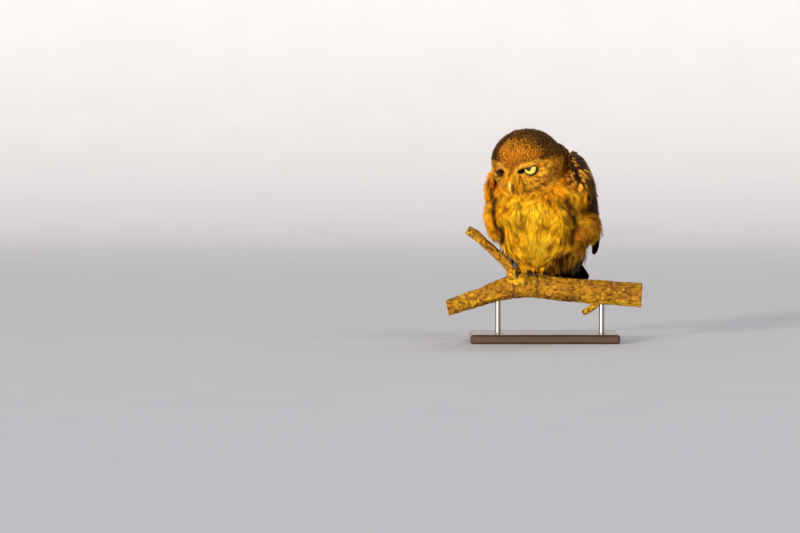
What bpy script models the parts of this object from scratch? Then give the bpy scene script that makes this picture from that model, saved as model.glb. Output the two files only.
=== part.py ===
"""Little owl gripping a cut length of branch, held by a plain display stand.

Metres, +Z up. The origin is the centre of the base's underside. +X runs along the
branch, and the bird faces -Y, turned a little towards -X. The bird's own frame (the
empty named owl) has its origin on top of the branch: +X is the bird's left, -Y is
ahead of it. Sizes are in millimetres times MM.
"""

import math
from collections import namedtuple

import bmesh
import bpy
from mathutils import Matrix, Vector, noise

MM = 0.001
GAP = 0.3 * MM                      # clearance between touching pieces
WELD = 0.01 * MM                    # joins the loose caps of a bevelled curve
OBJECT_NAME = "little_owl"
STEADY = "MANIFOLD"                 # for the lids, where EXACT loses a socket in some runs

# ---- places -------------------------------------------------------------------------
PERCH_TOP = 75.0 * MM               # top of the branch under the feet
OWL_PLACE = Vector((-5.0, -8.0, 75.0)) * MM
BODY_YAW = math.radians(-18.0)      # the bird is turned towards -X
HEAD_PLACE = Vector((-7.6, -22.0, 119.0)) * MM
HEAD_YAW = math.radians(-13.0)      # further than the body
HEAD_PITCH = math.radians(24.0)     # bill down

# ---- torso ---------------------------------------------------------------------------
Blob = namedtuple("Blob", "centre radii")
TORSO_BLOBS = (
    Blob((0, -6, 62), (56, 42, 47)),        # breast and belly
    Blob((-4, -4, 92), (47, 35, 30)),       # upper breast
    Blob((0, 14, 90), (47, 33, 36)),        # mantle
    Blob((0, 20, 62), (50, 33, 40)),        # back
    Blob((41, 5, 45), (26, 33, 29)),        # left flank
    Blob((-37, -2, 58), (25, 34, 30)),      # right flank
    Blob((-4, -5, 32), (40, 29, 25)),       # lower belly
    Blob((0, 36, 52), (38, 28, 30)),        # rump
    Blob((3, 44, 33), (28, 27, 18)),        # vent
    Blob((-4, 3, 113), (37, 34, 28)),       # nape
    Blob((12, 8, 118), (24, 26, 26)),       # left side of the neck, stretched by the turn
    Blob((33, 12, 100), (18, 26, 18)),      # raised left shoulder
)
TORSO_VOXEL = 3.0 * MM
TORSO_TRIANGLES = 1200
SMOOTH_STEPS = 12

# ---- head ----------------------------------------------------------------------------
HEAD_HALF_WIDTH = 40.0 * MM
HEAD_FRONT = 35.0 * MM
HEAD_BACK = 41.0 * MM
HEAD_UP = 38.0 * MM
HEAD_DOWN = 36.0 * MM
HEAD_TRIANGLES = 1750
EYE_RADIUS = 8.5 * MM
EYE_PLACE = Vector((18.0, -22.3, 4.6)) * MM
EYE_TURN = math.radians(10.0)       # each eye looks a little outwards
CORNEA_RISE = 0.7 * MM
CORNEA_HALF_ANGLE = math.radians(52.0)
LID_THICKNESS = 1.5 * MM
LID_DEPTH = 0.35                    # the opening starts this share of the eye ahead of its middle
LID_OPENING = 7.3 * MM              # radius of the round part of the opening
BROW_DROP = 3.9 * MM                # the upper lid's edge passes this far over the pupil
BROW_SLOPE = math.radians(14.0)     # and rises outwards
DISH_DEPTH = 2.4 * MM
DISH_RADIUS = 10.0 * MM
DISC_RIM = 1.3 * MM
DISC_RADIUS = 18.0 * MM
DISC_RIM_WIDTH = 3.5 * MM
BROW_RISE = 4.4 * MM
BROW_WIDTH = 3.3 * MM
BROW_FADE = 0.75                   # share of the rise lost at the outer end
BROW_LINE = ((4, -38, 1.5), (11, -36, 7.0), (19, -31, 10.6), (29, -22, 13.0))

# ---- bill: (y, z) of the section's middle, half width, half height -------------------
BeakStation = namedtuple("BeakStation", "y z half_width half_height")
UPPER_BILL = (
    BeakStation(-29.0, -4.4, 4.6, 4.2),
    BeakStation(-37.0, -4.0, 4.5, 4.2),
    BeakStation(-41.2, -5.8, 4.1, 3.9),
    BeakStation(-43.4, -9.0, 3.5, 3.2),
    BeakStation(-44.0, -12.6, 2.7, 2.4),
    BeakStation(-43.2, -16.0, 1.8, 1.6),
    BeakStation(-41.9, -18.7, 0.9, 0.8),
    BeakStation(-41.2, -20.0, 0.3, 0.3),
)
LOWER_BILL = (
    BeakStation(-28.0, -10.6, 3.8, 2.8),
    BeakStation(-34.0, -11.4, 3.6, 2.6),
    BeakStation(-38.0, -12.8, 2.8, 2.2),
    BeakStation(-40.2, -14.5, 1.6, 1.4),
    BeakStation(-41.0, -15.5, 0.5, 0.5),
)
BILL_SIDES = 14
NOSTRIL_RADIUS = 1.0 * MM
NOSTRIL_PLACE = Vector((4.2, -39.4, -3.6)) * MM

# ---- wing: a curved sheet over the side, from the wrist to the tip ---------------------
WING_PATHS = {
    "left": ((50, -22, 96), (60, 8, 98), (58, 42, 64), (33.5, 73, 20)),
    "right": ((51, -22, 93), (61, 8, 96), (58, 42, 62), (36, 74, 18)),
}
WING_AXIS_Y = 12.0 * MM             # the sheet faces away from this line
WING_LIFT = 10.0 * MM
WING_BEND = 9.5                    # 1/m: how fast it curves in across its width
CORE_OUT = 3.4 * MM
CORE_IN = 7.0 * MM
CORE_U = (0.33, 0.37)               # middle and half length, as shares of the path
CORE_V = Vector((6.0, 27.0)) * MM   # middle and half width

# A tier runs from the lower edge of the wing (first values) to the upper one (last).
Tier = namedtuple("Tier", "count root_u root_v tip_u tip_v width lift step columns rows")
WING_TIERS = (
    # primaries, secondaries, greater, median and lesser coverts
    Tier(6, (0.54, 0.50), (-12, 7), (1.00, 0.90), (-7, 8), 9.0, 0.0, 0.45, 2, 5),
    Tier(7, (0.42, 0.36), (-9, 25), (0.83, 0.68), (-8, 21), 10.5, 0.0, 0.0, 2, 4),
    Tier(6, (0.28, 0.25), (-16, 24), (0.57, 0.50), (-13, 24), 11.0, 0.0, 0.0, 1, 3),
    Tier(6, (0.17, 0.14), (-17, 24), (0.40, 0.35), (-16, 24), 11.0, 0.0, 0.0, 1, 3),
    Tier(5, (0.06, 0.04), (-14, 21), (0.27, 0.24), (-15, 22), 12.0, 0.0, 0.0, 1, 3),
    # three rows of scapulars
    Tier(2, (0.29, 0.27), (24, 29), (0.55, 0.50), (25, 29), 11.0, 1.4, 0.0, 1, 3),
    Tier(2, (0.17, 0.15), (24, 29), (0.42, 0.38), (25, 29), 11.0, 1.4, 0.0, 1, 3),
    Tier(2, (0.08, 0.07), (22, 27), (0.30, 0.27), (24, 29), 11.0, 1.4, 0.0, 1, 3),
)
ROOT_LIFT = -1.2 * MM               # a vane starts inside the core
TIP_LIFT = 3.4 * MM                 # and ends over the roots of the next tier
LIFT_SHARE = 0.33                   # share of a vane over which it rises to its tier's lift
VANE_TWIST = math.radians(14.0)     # neighbours overlap like shingles
VANE_THICKNESS = 0.55 * MM
VANE_TIP_THICKNESS = 0.35 * MM
VANE_CAMBER = 0.04                  # share of the width
VANE_SPACING = 1.35                 # more than 1 sets the rows closer towards the tip
VANE_ROOT_WIDTH = 0.55              # share of the full width at the root
VANE_FULL_AT = 0.40                 # share of the length where it is fully wide
VANE_ROUND_FROM = 0.62              # share of the length where the tip starts to close in
VANE_END_WIDTH = 0.245              # share of the full width left at the very end

# ---- branch: (x, z) of its middle over PERCH_TOP's level, radius ----------------------
BRANCH = (
    (-105, -38.3, 8.8), (-93, -34.8, 9.0), (-77, -29.0, 9.5), (-60.8, -23.4, 10.3),
    (-48, -19.2, 11.6), (-37, -16.1, 12.8), (-25, -14.6, 13.2), (-13, -14.6, 13.2),
    (4, -16.2, 13.2), (21, -18.4, 13.3), (39, -19.8, 13.3), (57, -20.8, 13.6),
    (80, -22.6, 13.2), (105, -24.4, 13.4),
)
TWIG = ((-33, -12, -2), (-36, 2, -2), (-43, 12, -3), (-51, 19.5, -4), (-65, 33.0, -6),
        (-74, 40.5, -8), (-83, 46.5, -9))
TWIG_RADII = (5.4, 5.6, 5.3, 5.2, 5.1, 5.2, 4.9)
SPUR = ((60, -27, 0), (55, -35, -2), (49, -39.5, -3), (41.8, -44.0, -4))
SPUR_RADII = (4.6, 3.8, 3.5, 3.3)
BARK_RISE = 0.7 * MM
BARK_SCALE = 90.0                   # 1/m
LIMB_BARK = 0.6                     # share of the bark's rise on the twig and the spur

# ---- feet: x of the foot's middle and of its two front claws, in the world ------------
Foot = namedtuple("Foot", "side x front hind")
FEET = (
    Foot("right", -23.5, (-30.5, -17.5), (-29.0, -18.0)),
    Foot("left", -4.5, (-10.0, -0.5), (-9.5, 1.0)),
)
TOE_RADIUS = 2.7 * MM
TOE_TIP_RADIUS = 2.1 * MM
PAD_RADIUS = 4.2 * MM
FOOT_ANGLE = math.radians(-36.0)    # round the branch, 0 is the top, + is ahead
TOE_STEPS = 5
TOE_SPREAD = 1.25                   # a toe reaches its claw's x before its end
TOE_BLUNTING = 0.7                  # share of the radius left at both ends of a toe
KNUCKLE_RISE = 0.25 * MM
FRONT_TOE_END = math.radians(14.0)
HIND_TOE_END = math.radians(-100.0)
CLAW_STEPS = 6
CLAW_CLEARANCE = 0.36 * MM          # round the claw where it leaves its toe
CLAW_TAPER = 1.3                    # more than 1 keeps a claw thick near its root
CLAW_SWEEP = math.radians(36.0)
CLAW_SUNK = 0.10                    # share of the claw inside its toe
CLAW_ARCH = 1.2 * MM
CLAW_TIP_HEIGHT = 1.0 * MM
CLAW_RADIUS = 1.55 * MM
CLAW_TIP = 0.25 * MM
LEG_TOP = {"right": Vector((-17, 4, 30)) * MM, "left": Vector((5, 4, 30)) * MM}
LEG_SHARES = (0.0, 0.35, 0.7, 1.0)
LEG_RADII = (9.0, 8.6, 7.0, 5.2)
ANKLE_HEIGHT = 7.0 * MM             # the leg ends this far over the bark

# ---- tail ------------------------------------------------------------------------------
TAIL_ROOT = Vector((1, 46, 43)) * MM
TAIL_TIP = Vector((10, 88, -15)) * MM
TAIL_HALF_COUNT = 6                 # feathers on each side
TAIL_FAN = math.radians(2.3)        # angle between neighbours
TAIL_ROOT_SPACING = 1.6 * MM
TAIL_WIDTH = 11.5
TAIL_DROP = 0.95 * MM               # each feather lies this far under the one before
TAIL_SHORTENING = 0.02              # each outer pair is shorter by this share
TAIL_CORE = Vector((15.0, 7.0, 20.0)) * MM
TAIL_CORE_ALONG = 23.0 * MM         # from the root
TAIL_CORE_DROP = 5.2 * MM
Coverts = namedtuple("Coverts", "count spacing length width height")
TAIL_COVERTS = (Coverts(4, 4.5, 30.0, 11.0, 1.0), Coverts(5, 3.9, 34.0, 10.0, -9.5))
COVERT_STEP = 0.45 * MM             # every second covert lies lower, the others higher

# ---- stand -----------------------------------------------------------------------------
BASE_SIZE = Vector((160.0, 124.0, 10.0)) * MM
BASE_BEVEL = 2.0 * MM
ROD_RADIUS = 3.0 * MM
ROD_X = {"left": -50.0 * MM, "right": 62.0 * MM}
ROD_SOCKET = 5.0 * MM

COLORS = {
    "torso": (0.62, 0.36, 0.08, 0.85), "head": (0.50, 0.27, 0.06, 0.85),
    "wing": (0.16, 0.09, 0.04, 0.8), "tail": (0.06, 0.045, 0.03, 0.8),
    "leg": (0.60, 0.34, 0.08, 0.85), "foot": (0.38, 0.22, 0.09, 0.7),
    "claw": (0.02, 0.016, 0.013, 0.35), "beak": (0.62, 0.50, 0.20, 0.4),
    "eye": (0.85, 0.72, 0.08, 0.08), "perch": (0.36, 0.24, 0.11, 0.9),
    "stand_base": (0.09, 0.06, 0.04, 0.45), "stand_rod": (0.45, 0.44, 0.42, 0.3),
}


# ---- scene helpers ---------------------------------------------------------------------

def clear_scene():
    """Remove every object of the open file."""
    for item in list(bpy.data.objects):
        bpy.data.objects.remove(item)


def new_collection(name):
    """Make a collection and link it to the scene."""
    collection = bpy.data.collections.new(name)
    bpy.context.scene.collection.children.link(collection)
    return collection


def material(name, kind):
    """A Principled material from the colour table: r, g, b, roughness."""
    red, green, blue, roughness = COLORS[kind]
    item = bpy.data.materials.new(name)
    item.use_nodes = True
    shader = item.node_tree.nodes["Principled BSDF"]
    shader.inputs["Base Color"].default_value = (red, green, blue, 1.0)
    shader.inputs["Roughness"].default_value = roughness
    shader.inputs["Metallic"].default_value = 1.0 if kind == "stand_rod" else 0.0
    return item


class Workshop:
    """The collections and the empties that the pieces hang on."""

    def __init__(self):
        self.parts = new_collection(OBJECT_NAME)
        self.tools = new_collection("cutters")
        self.owl = self.empty("owl", OWL_PLACE, (0.0, 0.0, BODY_YAW), None)
        self.head = self.empty("skull", HEAD_PLACE, (HEAD_PITCH, 0.0, HEAD_YAW), self.owl)
        bpy.context.view_layer.update()

    def empty(self, name, place, turn, parent):
        """An empty that carries a group of pieces."""
        item = bpy.data.objects.new(name, None)
        item.location = place
        item.rotation_euler = turn
        item.parent = parent
        self.parts.objects.link(item)
        return item

    def add(self, name, bm, parent=None, kind=None):
        """Turn a bmesh into an object; without a kind it is a cutter."""
        mesh = bpy.data.meshes.new(name)
        bm.to_mesh(mesh)
        bm.free()
        item = bpy.data.objects.new(name, mesh)
        item.parent = parent
        if kind is None:
            self.tools.objects.link(item)
            item.hide_render = True
            item.display_type = "WIRE"
        else:
            self.parts.objects.link(item)
            mesh.materials.append(material(name, kind))
        return item


def evaluated_mesh(item):
    """The object's mesh with its modifiers, as new mesh data."""
    bpy.context.view_layer.update()
    graph = bpy.context.evaluated_depsgraph_get()
    return bpy.data.meshes.new_from_object(item.evaluated_get(graph))


def apply_modifiers(item):
    """Replace the object's mesh with its evaluated one."""
    mesh = evaluated_mesh(item)
    item.modifiers.clear()
    item.data = mesh


def remove(items):
    """Remove objects that have done their work."""
    for item in list(items):
        bpy.data.objects.remove(item)


def boolean(item, other, operation, solver="EXACT"):
    """Cut or join the object with another one and keep the result."""
    modifier = item.modifiers.new("cut", "BOOLEAN")
    modifier.operation = operation
    modifier.object = other
    modifier.solver = solver
    apply_modifiers(item)


def join_all(item, pieces, solver="EXACT"):
    """Fuse the pieces to the object by one union on a collection."""
    group = new_collection("joined")
    for piece in pieces:
        for owner in list(piece.users_collection):
            owner.objects.unlink(piece)
        group.objects.link(piece)
    modifier = item.modifiers.new("union", "BOOLEAN")
    modifier.operation = "UNION"
    modifier.operand_type = "COLLECTION"
    modifier.collection = group
    modifier.solver = solver
    apply_modifiers(item)
    remove(group.objects)
    bpy.data.collections.remove(group)


def islands(bm):
    """The bmesh's faces, grouped into connected surfaces."""
    left = set(bm.faces)
    groups = []
    while left:
        stack = [left.pop()]
        group = [stack[0]]
        while stack:
            face = stack.pop()
            for edge in face.edges:
                for near in edge.link_faces:
                    if near in left:
                        left.remove(near)
                        stack.append(near)
                        group.append(near)
        groups.append(group)
    return groups


def keep_largest(item):
    """Drop every surface but the largest, so that one closed body stays."""
    bm = bmesh.new()
    bm.from_mesh(item.data)
    groups = sorted(islands(bm), key=lambda faces: sum(face.calc_area() for face in faces))
    loose = [face for group in groups[:-1] for face in group]
    bmesh.ops.delete(bm, geom=loose, context="FACES")
    bm.to_mesh(item.data)
    bm.free()


def grown(shop, item, distance=GAP):
    """A cutter: the object's mesh moved out along its normals."""
    bm = bmesh.new()
    bm.from_mesh(item.data)
    bm.normal_update()
    moves = [vert.normal.copy() for vert in bm.verts]
    for vert, normal in zip(bm.verts, moves):
        vert.co += normal * distance
    cutter = shop.add(item.name + "_grown", bm, item.parent)
    cutter.location = item.location
    cutter.rotation_euler = item.rotation_euler
    bpy.context.view_layer.update()
    return cutter


def smooth_shade(item, angle=math.radians(40.0)):
    """Shade smooth, sharp where faces meet at more than the angle."""
    item.data.shade_smooth()
    item.data.set_sharp_from_angle(angle=angle)


# ---- shapes ----------------------------------------------------------------------------

def add_ellipsoid(bm, centre, radii, segments=28, rings=18):
    """Add an ellipsoid to a bmesh, sizes in millimetres."""
    place = Matrix.Translation(Vector(centre) * MM)
    scale = Matrix.Diagonal((*(Vector(radii) * MM), 1.0))
    bmesh.ops.create_uvsphere(bm, u_segments=segments, v_segments=rings, radius=1.0,
                              matrix=place @ scale)


def melt(item, voxel, steps, triangles):
    """Remesh overlapping forms into one skin, smooth it and thin it out."""
    remesh = item.modifiers.new("melt", "REMESH")
    remesh.mode = "VOXEL"
    remesh.voxel_size = voxel
    smooth = item.modifiers.new("smooth", "SMOOTH")
    smooth.iterations = steps
    smooth.factor = 0.5
    apply_modifiers(item)
    thin_out(item, triangles)


def thin_out(item, triangles):
    """Decimate the mesh to a number of triangles."""
    count = sum(len(face.vertices) - 2 for face in item.data.polygons)
    thin = item.modifiers.new("thin", "DECIMATE")
    thin.ratio = min(1.0, triangles / count)
    thin.use_collapse_triangulate = True
    apply_modifiers(item)


def bezier(path, u):
    """Point and direction on a cubic curve through four control points."""
    a, b, c, d = (Vector(point) * MM for point in path)
    v = 1.0 - u
    point = a * v ** 3 + b * 3 * v * v * u + c * 3 * v * u * u + d * u ** 3
    slope = (b - a) * 3 * v * v + (c - b) * 6 * v * u + (d - c) * 3 * u * u
    return point, slope.normalized()


def loft(rings):
    """A closed bmesh through rings of equal size, capped at both ends."""
    bm = bmesh.new()
    rows = [[bm.verts.new(point) for point in ring] for ring in rings]
    count = len(rows[0])
    for near, far in zip(rows, rows[1:]):
        for k in range(count):
            m = (k + 1) % count
            bm.faces.new((near[k], near[m], far[m], far[k]))
    bm.faces.new(rows[0])
    bm.faces.new(list(reversed(rows[-1])))
    bmesh.ops.recalc_face_normals(bm, faces=bm.faces)
    return bm


def curve_tube(shop, name, points, radii, resolution, parent=None, kind=None):
    """A tube along points with a radius at each, made from a bevelled curve."""
    curve = bpy.data.curves.new(name, "CURVE")
    curve.dimensions = "3D"
    curve.bevel_depth = 1.0
    curve.bevel_resolution = resolution
    curve.use_fill_caps = True
    spline = curve.splines.new("POLY")
    spline.points.add(len(points) - 1)
    for knot, point, radius in zip(spline.points, points, radii):
        knot.co = (*point, 1.0)
        knot.radius = radius
    item = bpy.data.objects.new(name, curve)
    item.parent = parent
    shop.tools.objects.link(item)
    mesh = evaluated_mesh(item)
    bm = bmesh.new()
    bm.from_mesh(mesh)
    bmesh.ops.remove_doubles(bm, verts=bm.verts, dist=WELD)
    bmesh.ops.recalc_face_normals(bm, faces=bm.faces)
    bpy.data.objects.remove(item)
    return shop.add(name, bm, parent, kind)


def spread(values, steps):
    """Points between tuples of numbers on a smooth (Catmull-Rom) curve."""
    rows = [Vector(value) for value in values]
    result = []
    for k in range(len(rows) - 1):
        before = rows[max(k - 1, 0)]
        here = rows[k]
        there = rows[k + 1]
        after = rows[min(k + 2, len(rows) - 1)]
        for step in range(steps):
            t = step / steps
            result.append(0.5 * (2 * here + (there - before) * t
                                 + (2 * before - 5 * here + 4 * there - after) * t * t
                                 + (3 * here - before - 3 * there + after) * t ** 3))
    result.append(rows[-1])
    return result


# ---- branch and stand -------------------------------------------------------------------

def branch_at(x):
    """Middle (y, z) and radius of the branch at a world x, in metres."""
    rows = [Vector(row) * MM for row in BRANCH]
    for here, there in zip(rows, rows[1:]):
        if here.x <= x <= there.x:
            row = here.lerp(there, (x - here.x) / (there.x - here.x))
            return OWL_PLACE.y, PERCH_TOP + row.y, row.z
    row = rows[0] if x < rows[0].x else rows[-1]
    return OWL_PLACE.y, PERCH_TOP + row.y, row.z


def on_branch(x, angle, height):
    """World point over the branch's bark: 0 is the top, + turns ahead."""
    y, z, radius = branch_at(x)
    reach = radius + height
    return Vector((x, y - math.sin(angle) * reach, z + math.cos(angle) * reach))


def roughen(item, rise, scale):
    """Push a mesh in and out by smooth noise."""
    bm = bmesh.new()
    bm.from_mesh(item.data)
    bm.normal_update()
    moves = [vert.normal * noise.noise(vert.co * scale) * rise for vert in bm.verts]
    for vert, move in zip(bm.verts, moves):
        vert.co += move
    bm.to_mesh(item.data)
    bm.free()


def build_perch(shop):
    """The cut length of branch with the stub of a twig and a short spur."""
    rows = spread(BRANCH, 2)
    points = [Vector((row.x * MM, OWL_PLACE.y, PERCH_TOP + row.y * MM)) for row in rows]
    perch = curve_tube(shop, "perch", points, [row.z * MM for row in rows], 3, None, "perch")
    limbs = []
    for name, knots, radii in (("twig", TWIG, TWIG_RADII), ("spur", SPUR, SPUR_RADII)):
        rows = spread([(*knot, radius) for knot, radius in zip(knots, radii)], 2)
        points = [Vector((row[0] * MM, OWL_PLACE.y + row[2] * MM, PERCH_TOP + row[1] * MM))
                  for row in rows]
        limbs.append(curve_tube(shop, name, points, [row[3] * MM for row in rows], 2))
    for limb in limbs:
        roughen(limb, BARK_RISE * LIMB_BARK, BARK_SCALE)
    roughen(perch, BARK_RISE, BARK_SCALE)
    join_all(perch, limbs)
    keep_largest(perch)
    return perch


def build_stand(shop, perch_grown):
    """A flat base and two rods that end against the branch."""
    bm = bmesh.new()
    place = Matrix.Translation((0.0, 0.0, BASE_SIZE.z / 2))
    bmesh.ops.create_cube(bm, size=1.0, matrix=place @ Matrix.Diagonal((*BASE_SIZE, 1.0)))
    base = shop.add("stand_base", bm, None, "stand_base")
    bevel = base.modifiers.new("edges", "BEVEL")
    bevel.width = BASE_BEVEL
    bevel.segments = 1
    apply_modifiers(base)
    for side, x in ROD_X.items():
        low = BASE_SIZE.z - ROD_SOCKET + GAP
        high = branch_at(x)[1]
        rod = rod_mesh(shop, "stand_rod_" + side, x, low, high, ROD_RADIUS, "stand_rod")
        boolean(rod, perch_grown, "DIFFERENCE")
        keep_largest(rod)
        hole = rod_mesh(shop, "hole", x, low - GAP, high, ROD_RADIUS + GAP, None)
        boolean(base, hole, "DIFFERENCE")
        remove([hole])


def rod_mesh(shop, name, x, low, high, radius, kind):
    """An upright round rod."""
    bm = bmesh.new()
    place = Matrix.Translation((x, OWL_PLACE.y, (low + high) / 2))
    bmesh.ops.create_cone(bm, cap_ends=True, segments=24, radius1=radius, radius2=radius,
                          depth=high - low, matrix=place)
    return shop.add(name, bm, None, kind)


# ---- torso and head ----------------------------------------------------------------------

def build_torso(shop):
    """The whole body without head, wings, tail and legs."""
    bm = bmesh.new()
    for blob in TORSO_BLOBS:
        add_ellipsoid(bm, blob.centre, blob.radii)
    torso = shop.add("torso", bm, shop.owl, "torso")
    melt(torso, TORSO_VOXEL, SMOOTH_STEPS, TORSO_TRIANGLES)
    return torso


def eye_axis(side):
    """Centre of an eye and its line of sight, in the head's frame."""
    centre = Vector((EYE_PLACE.x * side, EYE_PLACE.y, EYE_PLACE.z))
    sight = Vector((math.sin(EYE_TURN) * side, -math.cos(EYE_TURN), 0.0))
    return centre, sight


def bump(distance, width):
    """A smooth hump: 1 in the middle, near 0 two widths away."""
    return math.exp(-(distance / width) ** 2)


def nearest_on_line(point, knots):
    """Distance from a point to a chain of straight runs, and the share of the chain passed."""
    best = (1.0, 0.0)
    for k, (a, b) in enumerate(zip(knots, knots[1:])):
        run = b - a
        t = max(0.0, min(1.0, (point - a).dot(run) / run.length_squared))
        best = min(best, ((point - a - run * t).length, (k + t) / (len(knots) - 1)))
    return best


def face_rise(point):
    """How far the face stands out of the plain head at a point."""
    rise = 0.0
    for side in (-1.0, 1.0):
        centre, sight = eye_axis(side)
        away = point - centre
        ahead = away.dot(sight)
        if ahead > 0.0:
            off = (away - sight * ahead).length
            rise -= DISH_DEPTH * bump(off, DISH_RADIUS)
            rise += DISC_RIM * bump(off - DISC_RADIUS, DISC_RIM_WIDTH)
        knots = [Vector((x * side, y, z)) * MM for x, y, z in BROW_LINE]
        off, share = nearest_on_line(point, knots)
        rise += BROW_RISE * (1.0 - BROW_FADE * share ** 2) * bump(off, BROW_WIDTH)
    return rise


def head_point(direction):
    """Point of the plain head in a direction."""
    depth = HEAD_FRONT if direction.y < 0.0 else HEAD_BACK
    height = HEAD_UP if direction.z > 0.0 else HEAD_DOWN
    return Vector((direction.x * HEAD_HALF_WIDTH, direction.y * depth, direction.z * height))


def build_head(shop):
    """The head with its facial discs and brows, still without eye sockets."""
    bm = bmesh.new()
    bmesh.ops.create_icosphere(bm, subdivisions=6, radius=1.0)
    for vert in bm.verts:
        vert.co = head_point(vert.co.normalized())
    bm.normal_update()
    moves = [vert.normal * face_rise(vert.co) for vert in bm.verts]
    for vert, move in zip(bm.verts, moves):
        vert.co += move
    head = shop.add("head", bm, shop.head, "head")
    thin_out(head, HEAD_TRIANGLES)
    return head


def eyeball(shop, name, side, grow, kind, segments=20):
    """An eyeball with its cornea, larger by grow all round."""
    centre, sight = eye_axis(side)
    turn = sight.to_track_quat("Z", "Y").to_matrix().to_4x4()
    bm = bmesh.new()
    bmesh.ops.create_uvsphere(bm, u_segments=segments, v_segments=segments * 3 // 5, radius=1.0)
    for vert in bm.verts:
        angle = math.acos(max(-1.0, min(1.0, vert.co.z)))
        swell = CORNEA_RISE * math.cos(min(1.0, angle / CORNEA_HALF_ANGLE) * math.pi / 2)
        vert.co = vert.co * (EYE_RADIUS + grow + swell)
    bmesh.ops.transform(bm, matrix=Matrix.Translation(centre) @ turn, verts=bm.verts)
    return shop.add(name, bm, shop.head, kind)


def lid_opening(shop, side):
    """A cutter for the gap between the lids: round below, straight along the brow."""
    centre, sight = eye_axis(side)
    turn = sight.to_track_quat("Z", "Y").to_matrix().to_4x4()
    bm = bmesh.new()
    reach = EYE_RADIUS * 2
    bmesh.ops.create_cone(bm, cap_ends=True, segments=32, radius1=LID_OPENING,
                          radius2=LID_OPENING, depth=reach)
    place = Matrix.Translation(centre + sight * (reach / 2 + EYE_RADIUS * LID_DEPTH))
    bmesh.ops.transform(bm, matrix=place @ turn, verts=bm.verts)
    across = sight.cross(Vector((0.0, 0.0, -side)))
    edge = across * math.cos(BROW_SLOPE) + Vector((0.0, 0.0, math.sin(BROW_SLOPE)))
    plane = edge.cross(sight)
    if plane.z < 0.0:
        plane = -plane
    cut = bmesh.ops.bisect_plane(bm, geom=bm.verts[:] + bm.edges[:] + bm.faces[:],
                                 plane_co=centre + Vector((0.0, 0.0, BROW_DROP)),
                                 plane_no=plane, clear_outer=True)
    rim = [item for item in cut["geom_cut"] if isinstance(item, bmesh.types.BMEdge)]
    bmesh.ops.contextual_create(bm, geom=rim)
    bmesh.ops.recalc_face_normals(bm, faces=bm.faces)
    return shop.add("lid_cutter", bm, shop.head)


def add_lids(shop, head):
    """Cut both sockets and leave lids that lie close to the eyeballs."""
    for side in (-1.0, 1.0):
        swelling = eyeball(shop, "lids", side, LID_THICKNESS, None)
        join_all(head, [swelling], STEADY)
        socket = eyeball(shop, "socket", side, GAP, None)
        boolean(head, socket, "DIFFERENCE", STEADY)
        opening = lid_opening(shop, side)
        boolean(head, opening, "DIFFERENCE", STEADY)
        remove([socket, opening])
    keep_largest(head)


def bill_mesh(stations, grow):
    """A curved, tapering bill through its stations."""
    rings = []
    for k, here in enumerate(stations):
        before = stations[max(k - 1, 0)]
        after = stations[min(k + 1, len(stations) - 1)]
        run = Vector((0.0, after.y - before.y, after.z - before.z)).normalized()
        up = Vector((0.0, run.z, -run.y))
        middle = Vector((0.0, here.y, here.z)) * MM
        ring = []
        for step in range(BILL_SIDES):
            angle = 2 * math.pi * step / BILL_SIDES
            wide = math.cos(angle) * (here.half_width * MM + grow)
            tall = math.sin(angle) * (here.half_height * MM + grow)
            ring.append(middle + Vector((wide, 0.0, 0.0)) + up * tall)
        rings.append(ring)
    return loft(rings)


def build_bill(shop, head_grown):
    """Upper and lower bill, parted along the line of the mouth."""
    upper = shop.add("beak_upper", bill_mesh(UPPER_BILL, 0.0), shop.head, "beak")
    upper_grown = shop.add("bill_cutter", bill_mesh(UPPER_BILL, GAP), shop.head)
    lower = shop.add("beak_lower", bill_mesh(LOWER_BILL, 0.0), shop.head, "beak")
    boolean(lower, upper_grown, "DIFFERENCE")
    for piece in (upper, lower):
        boolean(piece, head_grown, "DIFFERENCE")
        keep_largest(piece)
    for side in (-1.0, 1.0):
        bm = bmesh.new()
        place = Vector((NOSTRIL_PLACE.x * side, NOSTRIL_PLACE.y, NOSTRIL_PLACE.z))
        bmesh.ops.create_uvsphere(bm, u_segments=12, v_segments=8, radius=NOSTRIL_RADIUS,
                                  matrix=Matrix.Translation(place))
        hole = shop.add("nostril", bm, shop.head)
        boolean(upper, hole, "DIFFERENCE")
        remove([hole])
    remove([upper_grown])


# ---- wings -------------------------------------------------------------------------------

def wing_frame(path, u, v):
    """Point, along, across and outward directions of a left wing's sheet."""
    point, along = bezier(path, u)
    out = Vector((point.x, point.y - WING_AXIS_Y, WING_LIFT))
    out = (out - along * out.dot(along)).normalized()
    across = out.cross(along)
    bent = WING_BEND * v
    point = point + across * v - out * bent * v
    across = (across - out * 2 * bent).normalized()
    return point, along, across, along.cross(across).normalized()


def mirrored(bm, side):
    """Turn a left form into one of the given side, with its faces out."""
    for vert in bm.verts:
        vert.co.x *= side
    bmesh.ops.recalc_face_normals(bm, faces=bm.faces)
    return bm


def wing_core(path):
    """A lens that follows the wing's sheet and carries its feathers."""
    bm = bmesh.new()
    bmesh.ops.create_uvsphere(bm, u_segments=14, v_segments=9, radius=1.0)
    for vert in bm.verts:
        u = CORE_U[0] + CORE_U[1] * vert.co.z
        v = CORE_V[0] + CORE_V[1] * vert.co.x
        depth = CORE_OUT if vert.co.y > 0.0 else CORE_IN
        point, _, _, out = wing_frame(path, u, v)
        vert.co = point + out * vert.co.y * depth
    return bm


def vane_outline(s):
    """Half width of a vane along its length, as a share of the greatest."""
    body = VANE_ROOT_WIDTH + (1.0 - VANE_ROOT_WIDTH) * min(1.0, s / VANE_FULL_AT)
    tip = max(0.0, (s - VANE_ROUND_FROM) / (1.0 - VANE_ROUND_FROM))
    return body * max(VANE_END_WIDTH, math.sqrt(1.0 - tip * tip))


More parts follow.
